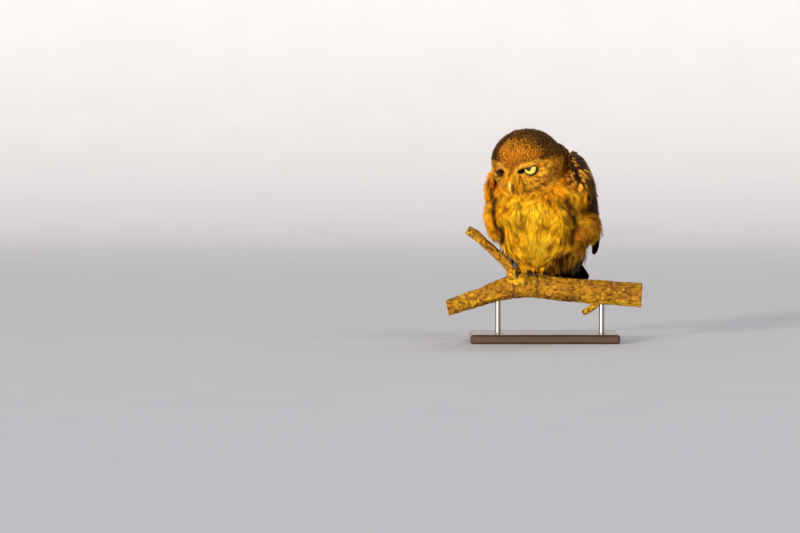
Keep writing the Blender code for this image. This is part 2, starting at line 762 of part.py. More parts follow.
def vane_mesh(frame_at, width, columns, rows):
    """A feather's vane: a thin tapered blade laid along frame_at(s), 0 root to 1 tip."""
    bm = bmesh.new()
    bmesh.ops.create_grid(bm, x_segments=columns, y_segments=rows, size=0.5)
    bmesh.ops.triangulate(bm, faces=bm.faces)
    bmesh.ops.solidify(bm, geom=bm.faces[:], thickness=1.0)
    low = min(vert.co.z for vert in bm.verts)
    half = width * MM / 2
    for vert in bm.verts:
        s = 1.0 - (0.5 - vert.co.y) ** VANE_SPACING
        across = 2.0 * vert.co.x
        level = vert.co.z - low - 0.5
        point, side, out = frame_at(s)
        thickness = VANE_THICKNESS + (VANE_TIP_THICKNESS - VANE_THICKNESS) * s
        rise = level * thickness - VANE_CAMBER * 2 * half * across * across
        vert.co = point + side * (across * half * vane_outline(s)) + out * rise
    return bm


def mix(pair, share):
    """Value between the two of a pair."""
    return pair[0] + (pair[1] - pair[0]) * share


def wing_vane(path, tier, number):
    """One feather of a tier of the left wing."""
    share = number / (tier.count - 1)
    lift = (tier.lift + tier.step * number) * MM

    def frame_at(s):
        u = mix((mix(tier.root_u, share), mix(tier.tip_u, share)), s)
        v = mix((mix(tier.root_v, share), mix(tier.tip_v, share)), s) * MM
        point, _, across, out = wing_frame(path, u, v)
        side = across * math.cos(VANE_TWIST) - out * math.sin(VANE_TWIST)
        face = out * math.cos(VANE_TWIST) + across * math.sin(VANE_TWIST)
        rise = mix((ROOT_LIFT, TIP_LIFT), s) + lift * min(1.0, s / LIFT_SHARE)
        return point + out * rise, side, face

    return vane_mesh(frame_at, tier.width, tier.columns, tier.rows)


def build_wing(shop, name, side, cutters):
    """One folded wing: a core with flight feathers, coverts and scapulars in tiers."""
    path = WING_PATHS[name]
    wing = shop.add("wing_" + name, mirrored(wing_core(path), side), shop.owl, "wing")
    vanes = []
    for tier in WING_TIERS:
        for number in range(tier.count):
            vanes.append(shop.add("vane", mirrored(wing_vane(path, tier, number), side), shop.owl))
    join_all(wing, vanes)
    keep_largest(wing)
    for cutter in cutters:
        boolean(wing, cutter, "DIFFERENCE")
    keep_largest(wing)
    return wing


def tail_axes():
    """Directions of the tail: along it, to the bird's left and up from its back."""
    along = (TAIL_TIP - TAIL_ROOT).normalized()
    across = Vector((1.0, 0.0, 0.0))
    across = (across - along * across.dot(along)).normalized()
    up = across.cross(along)
    return along, across, -up if up.z < 0.0 else up


def tail_vane(angle, root, length, drop, width, rows):
    """One feather of the tail, turned by an angle from its middle line."""
    along, across, up = tail_axes()
    line = along * math.cos(angle) + across * math.sin(angle)
    side = across * math.cos(angle) - along * math.sin(angle)
    start = TAIL_ROOT + across * root + up * drop

    def frame_at(s):
        return start + line * (length * s), side, up

    return vane_mesh(frame_at, width, 2, rows)


def build_tail(shop, cutters):
    """The folded tail: a core, twelve stacked feathers and the coverts over and under."""
    along, across, up = tail_axes()
    bm = bmesh.new()
    turn = Matrix((across, up, along)).transposed().to_4x4()
    middle = TAIL_ROOT + along * TAIL_CORE_ALONG - up * TAIL_CORE_DROP
    place = Matrix.Translation(middle)
    size = Matrix.Diagonal((*TAIL_CORE, 1.0))
    bmesh.ops.create_uvsphere(bm, u_segments=18, v_segments=12, radius=1.0,
                              matrix=place @ turn @ size)
    bmesh.ops.recalc_face_normals(bm, faces=bm.faces)
    tail = shop.add("tail", bm, shop.owl, "tail")
    full = (TAIL_TIP - TAIL_ROOT).length
    vanes = []
    for rank in range(2 * TAIL_HALF_COUNT):
        step = (rank // 2 + 0.5) * (1 if rank % 2 else -1)
        length = full * (1.0 - TAIL_SHORTENING * (rank // 2))
        vanes.append(tail_vane(step * TAIL_FAN, step * TAIL_ROOT_SPACING, length,
                               -rank * TAIL_DROP, TAIL_WIDTH, 5))
    for tier in TAIL_COVERTS:
        for number in range(tier.count):
            step = number - (tier.count - 1) / 2
            height = tier.height * MM + (COVERT_STEP if number % 2 else -COVERT_STEP)
            vanes.append(tail_vane(step * TAIL_FAN * 2, step * tier.spacing * MM,
                                   tier.length * MM, height, tier.width, 3))
    join_all(tail, [shop.add("vane", bm, shop.owl) for bm in vanes])
    keep_largest(tail)
    for cutter in cutters:
        boolean(tail, cutter, "DIFFERENCE")
    keep_largest(tail)
    return tail


# ---- legs, feet and claws ------------------------------------------------------------------

def toe_rows(foot, claw_x, end_angle):
    """Points and radii of one toe, from the foot's middle to its tip."""
    points = []
    radii = []
    for step in range(TOE_STEPS + 1):
        t = step / TOE_STEPS
        angle = FOOT_ANGLE + (end_angle - FOOT_ANGLE) * t
        x = (foot.x + (claw_x - foot.x) * min(1.0, t * TOE_SPREAD)) * MM
        swell = KNUCKLE_RISE * math.cos(t * 4 * math.pi)
        radius = TOE_RADIUS + (TOE_TIP_RADIUS - TOE_RADIUS) * t + swell
        points.append(on_branch(x, angle, radius + 2 * GAP))
        radii.append(radius if 0 < step < TOE_STEPS else radius * TOE_BLUNTING)
    return points, radii


def claw_rows(claw_x, start_angle, sweep, grow):
    """Points and radii of one claw, curved down onto the bark."""
    points = []
    radii = []
    back = math.copysign(grow, sweep) / branch_at(claw_x * MM)[2]
    for step in range(CLAW_STEPS + 1):
        t = step / CLAW_STEPS
        angle = start_angle + sweep * (t - CLAW_SUNK) - (0.0 if step else back)
        arch = CLAW_ARCH * math.sin(math.pi * t)
        height = TOE_TIP_RADIUS + (CLAW_TIP_HEIGHT - TOE_TIP_RADIUS) * t + arch
        points.append(on_branch(claw_x * MM, angle, height + 2 * GAP))
        radii.append(CLAW_RADIUS + (CLAW_TIP - CLAW_RADIUS) * t ** CLAW_TAPER + grow)
    return points, radii


def build_leg(shop, foot, cutters):
    """One feathered leg from the belly to the top of the foot, and a cutter a little wider."""
    ankle = shop.owl.matrix_world.inverted() @ on_branch(foot.x * MM, FOOT_ANGLE, ANKLE_HEIGHT)
    rows = [LEG_TOP[foot.side].lerp(ankle, t) for t in LEG_SHARES]
    name = "leg_" + foot.side
    leg = curve_tube(shop, name, rows, [r * MM for r in LEG_RADII], 2, shop.owl, "leg")
    cutter = grown(shop, leg)
    for other in cutters:
        boolean(leg, other, "DIFFERENCE")
    keep_largest(leg)
    return cutter


def build_foot(shop, foot, cutters):
    """One foot of four toes, and its four claws."""
    ends = [(x, FRONT_TOE_END, CLAW_SWEEP) for x in foot.front]
    ends += [(x, HIND_TOE_END, -CLAW_SWEEP) for x in foot.hind]
    toes = []
    for x, angle, _ in ends:
        points, radii = toe_rows(foot, x, angle)
        toes.append(curve_tube(shop, "toe", points, radii, 1))
    bm = bmesh.new()
    centre = on_branch(foot.x * MM, FOOT_ANGLE, PAD_RADIUS)
    bmesh.ops.create_uvsphere(bm, u_segments=12, v_segments=8, radius=PAD_RADIUS,
                              matrix=Matrix.Translation(centre))
    body = shop.add("foot_" + foot.side, bm, None, "foot")
    join_all(body, toes)
    for other in cutters:
        boolean(body, other, "DIFFERENCE")
    for number, (x, angle, sweep) in enumerate(ends, start=1):
        points, radii = claw_rows(x, angle, sweep, CLAW_CLEARANCE)
        cutter = curve_tube(shop, "claw_cutter", points, radii, 1)
        boolean(body, cutter, "DIFFERENCE")
        points, radii = claw_rows(x, angle, sweep, 0.0)
        claw = curve_tube(shop, f"claw_{foot.side}_{number}", points, radii, 1, None, "claw")
        boolean(claw, cutters[0], "DIFFERENCE")
        keep_largest(claw)
        remove([cutter])
    keep_largest(body)


def main():
    """Build every piece."""
    clear_scene()
    shop = Workshop()
    perch = build_perch(shop)
    perch_grown = grown(shop, perch)
    build_stand(shop, perch_grown)
    torso = build_torso(shop)
    head = build_head(shop)
    torso_grown = grown(shop, torso)
    head_grown = grown(shop, head)
    boolean(torso, head_grown, "DIFFERENCE")
    keep_largest(torso)
    add_lids(shop, head)
    for side, name in ((-1.0, "eye_right"), (1.0, "eye_left")):
        eyeball(shop, name, side, 0.0, "eye", 16)
    build_bill(shop, head_grown)
    for foot in FEET:
        leg_grown = build_leg(shop, foot, (torso_grown, perch_grown))
        build_foot(shop, foot, (perch_grown, leg_grown))
        remove([leg_grown])
    cutters = (torso_grown, head_grown)
    build_wing(shop, "right", -1.0, cutters)
    build_wing(shop, "left", 1.0, cutters)
    build_tail(shop, (torso_grown,))
    remove([torso_grown, head_grown, perch_grown])
    for item in shop.parts.objects:
        if item.type == "MESH":
            smooth_shade(item)


main()
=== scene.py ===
"""Dressed model of a little owl gripping a cut branch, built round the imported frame.

The bird is one skin under a coat of separate feathers, with its own eyes, lids, bill and
claws. The branch gets its bark and lichen, and the display stand its timber and steel.
Lengths are in millimetres in the classes' fields and in metres in the meshes.
"""

import logging
import math
from collections.abc import Callable, Iterable
from dataclasses import dataclass
from enum import Enum
from itertools import pairwise, product

import bmesh
import bpy
import numpy as np
from mathutils import Euler, Matrix, Vector
from mathutils.bvhtree import BVHTree
from mathutils.kdtree import KDTree


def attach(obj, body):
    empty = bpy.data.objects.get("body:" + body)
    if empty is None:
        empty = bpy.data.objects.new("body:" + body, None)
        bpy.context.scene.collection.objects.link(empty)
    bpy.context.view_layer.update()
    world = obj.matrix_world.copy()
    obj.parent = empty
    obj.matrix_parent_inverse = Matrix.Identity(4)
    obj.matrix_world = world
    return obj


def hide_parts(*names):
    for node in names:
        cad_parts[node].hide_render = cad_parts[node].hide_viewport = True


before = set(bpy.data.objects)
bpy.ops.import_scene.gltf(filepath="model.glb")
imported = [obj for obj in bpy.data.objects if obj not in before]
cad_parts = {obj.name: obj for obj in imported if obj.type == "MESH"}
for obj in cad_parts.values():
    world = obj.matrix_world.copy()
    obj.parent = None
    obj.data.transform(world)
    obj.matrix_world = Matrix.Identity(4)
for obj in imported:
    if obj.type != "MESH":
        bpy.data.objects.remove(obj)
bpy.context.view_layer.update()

MM = 0.001
BODY = "root"
WELD = 0.005  # corners of the solids closer than this become one
log = logging.getLogger("little_owl")

Array = np.ndarray
Mesh = bpy.types.Mesh
Object = bpy.types.Object
Node = bpy.types.Node
Socket = bpy.types.NodeSocket


# ---- numbers and colours ----

def linear(code: str) -> Array:
    """Turn an sRGB hex colour into linear red, green and blue.

    Args:
        code: The colour as "#rrggbb".

    Returns:
        Three linear values from 0 to 1.
    """
    value = np.array([int(code[k:k + 2], 16) for k in (1, 3, 5)]) / 255
    return np.where(value <= 0.04045, value / 12.92, ((value + 0.055) / 1.055) ** 2.4)


def unit(rows: Array) -> Array:
    """Return the vectors of the last axis at length one."""
    return rows / np.maximum(np.linalg.norm(rows, axis=-1, keepdims=True), 1e-12)


def ramp(low: float, high: float, value: Array) -> Array:
    """Smooth step from 0 at low to 1 at high."""
    share = np.clip((value - low) / (high - low), 0, 1)
    return share * share * (3 - 2 * share)


def bell(value: Array, width: float) -> Array:
    """Smooth hump: 1 at zero and near 0 two widths away."""
    return np.exp(-(value / width) ** 2)


def blend(first: Array, second: Array, share: Array) -> Array:
    """Mix rows of vectors or colours by one share for each row."""
    return first + (second - first) * np.asarray(share)[..., None]


def value_noise(points: Array, size: float, seed: int) -> Array:
    """Smooth repeatable noise.

    Args:
        points: Places, in the unit of size.
        size: Distance between neighbouring random values.
        seed: Number of the pattern.

    Returns:
        A value from -1 to 1 for each place.
    """
    scaled = points / size + seed * 7.31
    cell = np.floor(scaled)
    part = scaled - cell
    part = part * part * (3 - 2 * part)
    cell = cell.astype(np.int64)
    total = np.zeros(points.shape[:-1])
    for corner in range(8):
        step = np.array([corner & 1, corner >> 1 & 1, corner >> 2 & 1])
        key = (cell + step) * np.array([73856093, 19349663, 83492791])
        mixed = (key[..., 0] ^ key[..., 1] ^ key[..., 2] ^ seed * 2654435761) & 0xFFFFFFFF
        mixed = ((mixed ^ mixed >> 13) * 1540483477) & 0xFFFFFFFF
        mixed = mixed ^ mixed >> 15
        share = np.prod(np.where(step == 1, part, 1 - part), axis=-1)
        total += share * (mixed / 0x7FFFFFFF - 1)
    return total


def line_distance(points: Array, knots: Array) -> tuple[Array, Array]:
    """Distance from places to a chain of straight runs.

    Args:
        points: Places, as rows.
        knots: Corners of the chain, as rows of the same width.

    Returns:
        The distances, and the share of the chain passed at each nearest place.
    """
    best = np.full(points.shape[:-1], 1e9)
    share = np.zeros(points.shape[:-1])
    for k in range(len(knots) - 1):
        run = knots[k + 1] - knots[k]
        t = np.clip((points - knots[k]) @ run / (run @ run), 0, 1)
        off = np.linalg.norm(points - knots[k] - t[..., None] * run, axis=-1)
        share = np.where(off < best, (k + t) / (len(knots) - 1), share)
        best = np.minimum(best, off)
    return best, share


# ---- node materials ----

COLOURS = {"data_type": "RGBA"}                              # a Mix node between two colours
PRODUCT = {"data_type": "RGBA", "blend_type": "MULTIPLY"}    # one that multiplies them


def add_node(tree: bpy.types.NodeTree, kind: str, inputs: dict | tuple,
             **settings: object) -> Node:
    """Add a node with its settings, its values and its links.

    Args:
        tree: The material's node tree.
        kind: Blender's type name, without "ShaderNode".
        inputs: Values, output sockets or nodes, which give their first output, for its
            inputs: by name or number, or in their order.
        settings: Properties of the node.

    Returns:
        The new node.
    """
    node = tree.nodes.new("ShaderNode" + kind)
    for name, value in settings.items():
        setattr(node, name, value)
    rows = inputs.items() if isinstance(inputs, dict) else enumerate(inputs)
    for key, value in rows:
        if isinstance(value, Node):
            value = value.outputs[0]
        if isinstance(value, Socket):
            tree.links.new(value, node.inputs[key])
        else:
            node.inputs[key].default_value = value
    return node


def colour4(code: str) -> tuple:
    """Return a hex colour as the linear RGBA that a socket takes."""
    return (*linear(code), 1)


class Finish:
    """A material with one Principled shader, filled in by a subclass."""

    name = "finish"
    settings: dict = {}

    def __init__(self) -> None:
        """Make the material and its nodes."""
        self.material = bpy.data.materials.new(self.name)
        self.material.use_nodes = True
        self.tree = self.material.node_tree
        self.shader = self.tree.nodes["Principled BSDF"]
        for socket, value in self.settings.items():
            self.shader.inputs[socket].default_value = value
        self.dress()

    def dress(self) -> None:
        """Add the pattern nodes; a subclass does it."""

    def node(self, kind: str, inputs: dict | tuple = (), **settings: object) -> Node:
        """Add a node to this material."""
        return add_node(self.tree, kind, inputs, **settings)

    def tint(self) -> Socket:
        """The colours that the mesh carries."""
        return self.node("Attribute", attribute_name="tint").outputs["Color"]

    def vane(self) -> bpy.types.NodeOutputs:
        """The place across and along a feather, each from 0 to 1."""
        return self.node("SeparateXYZ", (self.node("UVMap", uv_map="Vane"),)).outputs

    def cover(self, colour: Socket, height: Socket | None = None, depth_mm: float = 0,
              strength: float = 1) -> None:
        """Give the shader its colour and, where there is one, its relief.

        Args:
            colour: The finished colour.
            height: Height of the relief, from 0 to 1.
            depth_mm: What a height of 1 stands for, in millimetres.
            strength: Share of the relief that shows.
        """
        self.tree.links.new(colour, self.shader.inputs["Base Color"])
        if height is not None:
            bump = self.node("Bump", {"Height": height, "Distance": depth_mm * MM,
                                      "Strength": strength})
            self.tree.links.new(bump.outputs[0], self.shader.inputs["Normal"])

    def shade(self, colour: Socket, amount: Socket, low: float, high: float) -> Socket:
        """Multiply a colour by a factor that runs from low to high with the amount."""
        factor = self.node("MapRange", {"Value": amount, "To Min": low, "To Max": high})
        return self.node("Mix", {0: 1, 6: colour, 7: factor}, **PRODUCT).outputs[2]

    def place(self, scale: tuple) -> Socket:
        """The place on the object in millimetres, times a factor on each axis."""
        scale = tuple(value / MM for value in scale)
        return self.node("Mapping", {"Vector": self.node("TexCoord").outputs["Object"],
                                     "Scale": scale}).outputs[0]

    def cloud(self, scale: tuple, **inputs: float) -> Socket:
        """Cloudy pattern by the place on the object.

        Args:
            scale: Clouds in a millimetre, along each axis.
            inputs: Detail, roughness or distortion of the pattern.

        Returns:
            Its value, from 0 to 1.
        """
        inputs = {"Vector": self.place(scale), "Scale": 1, **inputs}
        return self.node("TexNoise", inputs).outputs[0]

    def stained(self, tones: tuple, scale: tuple, **inputs: float) -> tuple[Socket, Socket]:
        """Spread two hex colours over the clouds of a pattern.

        Args:
            tones: The two colours.
            scale: Clouds in a millimetre, along each axis.
            inputs: Detail, roughness or distortion of the pattern.

        Returns:
            The colour, and the pattern's value.
        """
        cloud = self.cloud(scale, **inputs)
        low, high = map(colour4, tones)
        return self.node("Mix", {0: cloud, 6: low, 7: high}, **COLOURS).outputs[2], cloud

    def barbs(self, phase: Node) -> Socket:
        """Fine lines, one light and one dark for each whole step of the phase."""
        turn = self.node("Math", (phase, 2 * math.pi), operation="MULTIPLY")
        wave = self.node("Math", (turn,), operation="SINE")
        return self.node("MapRange", {"Value": wave, "From Min": -1}).outputs[0]


class SoftPlumage(Finish):
    """Contour feathers: loose keratin barbs, matte with a faint silky sheen along them."""

    name = "contour_feathers_loose_barbs"
    settings = {"Roughness": 0.85, "Specular IOR Level": 0.08, "Sheen Weight": 0.05,
                "Sheen Roughness": 0.5, "Sheen Tint": colour4("#ffdf9a")}
    barb_pitch = 9  # barbs across one feather, coarser than the real ones

    def dress(self) -> None:
        """Colour from the coat's markings, with fine lines along the barbs."""
        across, along, _ = self.vane()
        lines = self.barbs(self.node("Math", (across, self.barb_pitch, along),
                                     operation="MULTIPLY_ADD"))
        self.cover(self.shade(self.tint(), lines, 0.86, 1.08), lines, 0.12, 0.35)


class FirmPlumage(Finish):
    """Wing and tail feathers: zipped barbs make a smooth, firm blade with a low gloss."""

    name = "flight_feathers_zipped_barbs"
    settings = {"Roughness": 0.7, "Specular IOR Level": 0.1}
    barb_pitch = 26  # barbs along the vane, three times the real spacing
    barb_slant = 5
    shaft_width = 0.035  # share of the vane's width on each side of its middle
    shaft_tone = colour4("#5a3c1e")

    def dress(self) -> None:
        """Bars and spots from the mesh, barbs slanting from a paler shaft."""
        mark = self.node("Attribute", attribute_name="mark").outputs
        across, along, _ = self.vane()
        off = self.node("Math", (across, 0.5), operation="SUBTRACT")
        away = self.node("Math", (off,), operation="ABSOLUTE")
        slant = self.node("Math", (away, -self.barb_slant), operation="MULTIPLY")
        lines = self.barbs(self.node("Math", (along, self.barb_pitch, slant),
                                     operation="MULTIPLY_ADD"))
        marked = self.node("Mix", {0: mark["Alpha"], 6: self.tint(), 7: mark["Color"]}, **COLOURS)
        barbed = self.shade(marked.outputs[2], lines, 0.85, 1.1)
        shaft = self.node("MapRange", {"Value": away, "From Max": self.shaft_width, "To Min": 0.65,
                                       "To Max": 0})
        final = self.node("Mix", {0: shaft, 6: barbed, 7: self.shaft_tone}, **COLOURS)
        self.cover(final.outputs[2], lines, 0.1, 0.4)


class BirdSkin(Finish):
    """Skin under the down: thin, warm and grainy, in the colours of the coat over it."""

    name = "bird_skin_and_down"
    settings = {"Roughness": 0.92, "Specular IOR Level": 0.05}
    grain_mm = 0.9

    def dress(self) -> None:
        """Markings from the mesh, with a fine goose-flesh relief."""
        cells = self.node("TexVoronoi", {"Vector": self.place((1 / self.grain_mm,) * 3),
                                         "Scale": 1}, feature="F1")
        grain = cells.outputs["Distance"]
        self.cover(self.shade(self.tint(), grain, 1.12, 0.62), grain, 0.2, 0.5)


class LidSkin(Finish):
    """Bare eyelid: dark, slightly greasy skin with fine folds, a low gloss along the rim."""

    name = "eyelid_bare_skin"
    settings = {"Roughness": 0.42, "Specular IOR Level": 0.45}
    folds_per_mm = 1.6

    def dress(self) -> None:
        """The mesh's black rim and brown skin, broken by fine folds."""
        folds = self.cloud((self.folds_per_mm,) * 3, Detail=3)
        self.cover(self.shade(self.tint(), folds, 0.5, 1.5), folds, 0.15, 0.4)


class WetEye(Finish):
    """Eyeball: a lemon iris with fine spokes under a clear wet cornea."""

    name = "eye_iris_under_cornea"
    settings = {"Roughness": 0.25, "Specular IOR Level": 0.5, "Coat Weight": 1,
                "Coat Roughness": 0.02, "Coat IOR": 1.376}
    pupil = 0.315  # radii, as shares of the eyeball's
    iris = 0.85
    spokes = (9, 3, 1)  # round the iris and outwards
    tones = ("#c9b21c", "#f7f06a")

    def dress(self) -> None:
        """Rings by the distance from the line of sight."""
        gaze = self.node("Attribute", attribute_name="gaze").outputs["Vector"]
        x, y, _ = self.node("SeparateXYZ", (gaze,)).outputs
        flat = self.node("CombineXYZ", (x, y))
        away = self.node("VectorMath", (flat,), operation="LENGTH").outputs["Value"]
        turn = self.node("Math", (x, y), operation="ARCTAN2")
        polar = self.node("CombineXYZ", (turn, away))
        stretched = self.node("Mapping", {"Vector": polar, "Scale": self.spokes})
        spokes = self.node("TexNoise", {"Vector": stretched, "Scale": 1, "Detail": 2})
        low, high = map(colour4, self.tones)
        iris = self.node("Mix", {0: spokes, 6: low, 7: high}, **COLOURS).outputs[2]
        rings = self.node("ValToRGB", (away,))
        self.set_rings(rings.color_ramp)
        self.cover(self.node("Mix", {0: 1, 6: iris, 7: rings}, **PRODUCT).outputs[2])

    def set_rings(self, stops: bpy.types.ColorRamp) -> None:
        """Pupil, iris, its dark edge and the dark white of the eye."""
        rows = ((self.pupil, 0.004), (self.pupil + 0.03, 0.85), (self.iris * 0.8, 1),
                (self.iris * 0.94, 0.7), (self.iris, 0.03))
        stops.elements[0].position, stops.elements[0].color = 0, (0.004, 0.004, 0.004, 1)
        stops.elements[1].position, stops.elements[1].color = 1, (0.02, 0.02, 0.02, 1)
        for place, grey in rows:
            stops.elements.new(place).color = (grey, grey, grey, 1)


@dataclass(frozen=True)
class HornLook:
    """Colours and gloss of a horn."""

    name: str
    base: str
    tip: str
    roughness: float


BILL_HORN = HornLook("bill_horn_yellow", "#b8860e", "#f2bc28", 0.42)
CLAW_HORN = HornLook("claw_horn_dark", "#2a1d12", "#0b0806", 0.28)


class Horn(Finish):
    """Horn sheath: keratin laid in layers, worn smooth, with faint growth lines."""

    settings = {"Specular IOR Level": 0.5, "Coat Weight": 0.25, "Coat Roughness": 0.2}
    growth = (0.9, 0.9, 2.2)  # clouds in a millimetre, closest along the growth

    def __init__(self, look: HornLook) -> None:
        """Make the material of one horn."""
        self.look = look
        self.name = look.name
        self.settings = {**Horn.settings, "Roughness": look.roughness}
        super().__init__()

    def dress(self) -> None:
        """A run of colour with lines across the growth."""
        mixed, cloud = self.stained((self.look.base, self.look.tip), self.growth, Detail=4)
        toned = self.node("Mix", {0: 1, 6: mixed, 7: self.tint()}, **PRODUCT)
        self.cover(toned.outputs[2], cloud, 0.12, 0.3)


class Bark(Finish):
    """Orchard bark: dry, flaking in fine plates, with crusts of lichen."""

    name = "bark_dry_with_lichen"
    settings = {"Roughness": 0.88, "Specular IOR Level": 0.2}
    fissure_mm = 2.6  # between the cracks, which run along the branch
    grain_mm = 0.7

    def dress(self) -> None:
        """Broad colour from the mesh, fissures and specks from patterns in millimetres."""
        across = 1 / self.fissure_mm
        fissures = self.cloud((0.35 * across, across, across), Detail=5, Roughness=0.6,
                              Distortion=0.6)
        specks = self.cloud((1 / self.grain_mm,) * 3, Detail=4, Roughness=0.65)
        cracked = self.node("MapRange", {"Value": fissures, "From Min": 0.36, "From Max": 0.5})
        first = self.shade(self.tint(), cracked, 0.42, 1.05)
        height = self.node("Math", (cracked, 0.7, specks), operation="MULTIPLY_ADD")
        self.cover(self.shade(first, specks, 0.45, 1.6), height, 0.5, 0.8)


class StainedOak(Finish):
    """Display base: dark stained oak under satin lacquer, open grain along its length."""

    name = "oak_stained_satin_lacquer"
    settings = {"Roughness": 0.38, "Specular IOR Level": 0.5, "Coat Weight": 0.3,
                "Coat Roughness": 0.25}
    grain_mm = 1.6
    ring_mm = 7
    tones = ("#24150c", "#4a2f1c")

    def dress(self) -> None:
        """Long grain with pores."""
        fine, broad = 1 / self.grain_mm, 1 / self.ring_mm
        grain = self.cloud((0.04 * fine, fine, fine), Detail=5, Roughness=0.6)
        toned, _ = self.stained(self.tones, (0.12 * broad, broad, broad), Detail=2, Distortion=0.8)
        self.cover(self.shade(toned, grain, 0.55, 1.45), grain, 0.08, 0.3)


class BrushedSteel(Finish):
    """Rods: stainless steel drawn and brushed round, so the highlight breaks into lines."""

    name = "steel_stainless_brushed"
    settings = {"Metallic": 1, "Roughness": 0.3}
    line_mm = 0.25  # brush marks, drawn twice as coarse as real ones
    tones = ("#8a8884", "#c9c7c2")

    def dress(self) -> None:
        """Fine rings round the rod."""
        mixed, lines = self.stained(self.tones, (0.1, 0.1, 1 / self.line_mm), Detail=2)
        self.cover(mixed, lines, 0.03, 0.3)


class StudioPaper(Finish):
    """Background paper: pale, dead matte, with a barely visible fibre."""

    name = "studio_paper_matte"
    settings = {"Roughness": 0.95, "Specular IOR Level": 0.1}

    def dress(self) -> None:
        """Nearly even pale grey."""
        self.cover(self.stained(("#c6cad6", "#cdd1dc"), (0.01,) * 3, Detail=2)[0])


# ---- the bird's own frames ----

class Pose:
    """Where the body and the head stand and how they are turned."""

    place = Vector((-5, -8, 75)) * MM
    yaw = math.radians(-18)
    head_place = Vector((-7.6, -22, 119)) * MM
    head_turn = Euler((math.radians(24), 0, math.radians(-13)))

    def __init__(self) -> None:
        """Work out both frames."""
        body = Matrix.Translation(self.place) @ Matrix.Rotation(self.yaw, 4, "Z")
        head = body @ Matrix.Translation(self.head_place) @ self.head_turn.to_matrix().to_4x4()
        self.frames = {"body": np.array(body), "head": np.array(head)}

    def local(self, points: Array, name: str) -> Array:
        """Places in a frame, in millimetres."""
        matrix = self.frames[name]
        return (points - matrix[:3, 3]) @ matrix[:3, :3] / MM

    def world(self, points: Array, name: str) -> Array:
        """World places of points given in a frame in millimetres."""
        matrix = self.frames[name]
        return points @ matrix[:3, :3].T * MM + matrix[:3, 3]

    def turn(self, directions: Array, name: str) -> Array:
        """World directions of directions given in a frame."""
        return directions @ self.frames[name][:3, :3].T


POSE = Pose()
HEAD_RADII = np.array([40, 38, 37])  # of the head's solid, in its own frame
EYE_CENTRE = np.array([18, -22.3, 4.6])
EYE_RADIUS = 8.5
EYE_TURN = math.radians(10)
BILL_ROOT = np.array([0, -35, -3])
BILL_MIDDLE = np.array([0, -36, -4])
BILL_REACH = np.array([9.5, 9, 10])  # how far the bristles stand round it
FEET_MIDDLE = np.array([2, -14, 6])  # where the belly's feathers meet, body frame
THROAT = np.array([-6, -34, 118])
BROW_BAND = np.array([(4.5, -37, 1.5), (6.5, -35.4, 7), (12.8, -31, 11.6), (21.4, -27.8, 12.6),
                      (29.5, -22, 12.2)])
BROW_DOTS = np.array([(15, -29.5, 15), (26, -24.4, 15.2), (35.5, -11.7, 14.5)])
CHEEK_DOTS = np.array([(12.5, -32.1, -11), (18, -30, -11.3), (25, -26, -9.5)])
DISC_EDGE = np.array([(38.5, -6, -5), (37.8, -7.6, -8.8), (32.8, -14.7, -13.9),
                      (24.4, -21.8, -17.8), (12, -27, -20.8)])
EYE_CORNER = np.array([11, -32.8, 4.6])
LORE = np.array([6, -36.5, -3])  # the pale spot between eye and bill


def head_share(points: Array) -> Array:
    """How far places belong to the head, from 0 to 1."""
    size = np.linalg.norm(POSE.local(points, "head") / HEAD_RADII, axis=-1)
    return ramp(1.07, 0.99, size)


def folded_over(local: Array) -> Array:
    """Places with the head's right half folded over the left one."""
    return np.abs(local) * (1, 0, 0) + local * (0, 1, 1)


def layered(colour: Array, *layers: tuple) -> Array:
    """Lay colours over each other, each by its own share."""
    for tone, share in layers:
        colour = blend(colour, tone, share)
    return colour


def eye_distance(local: Array) -> Array:
    """Distance to the nearer eye's middle from places in the head's frame."""
    return np.linalg.norm(folded_over(local) - EYE_CENTRE, axis=-1)


# ---- colours of the plumage ----

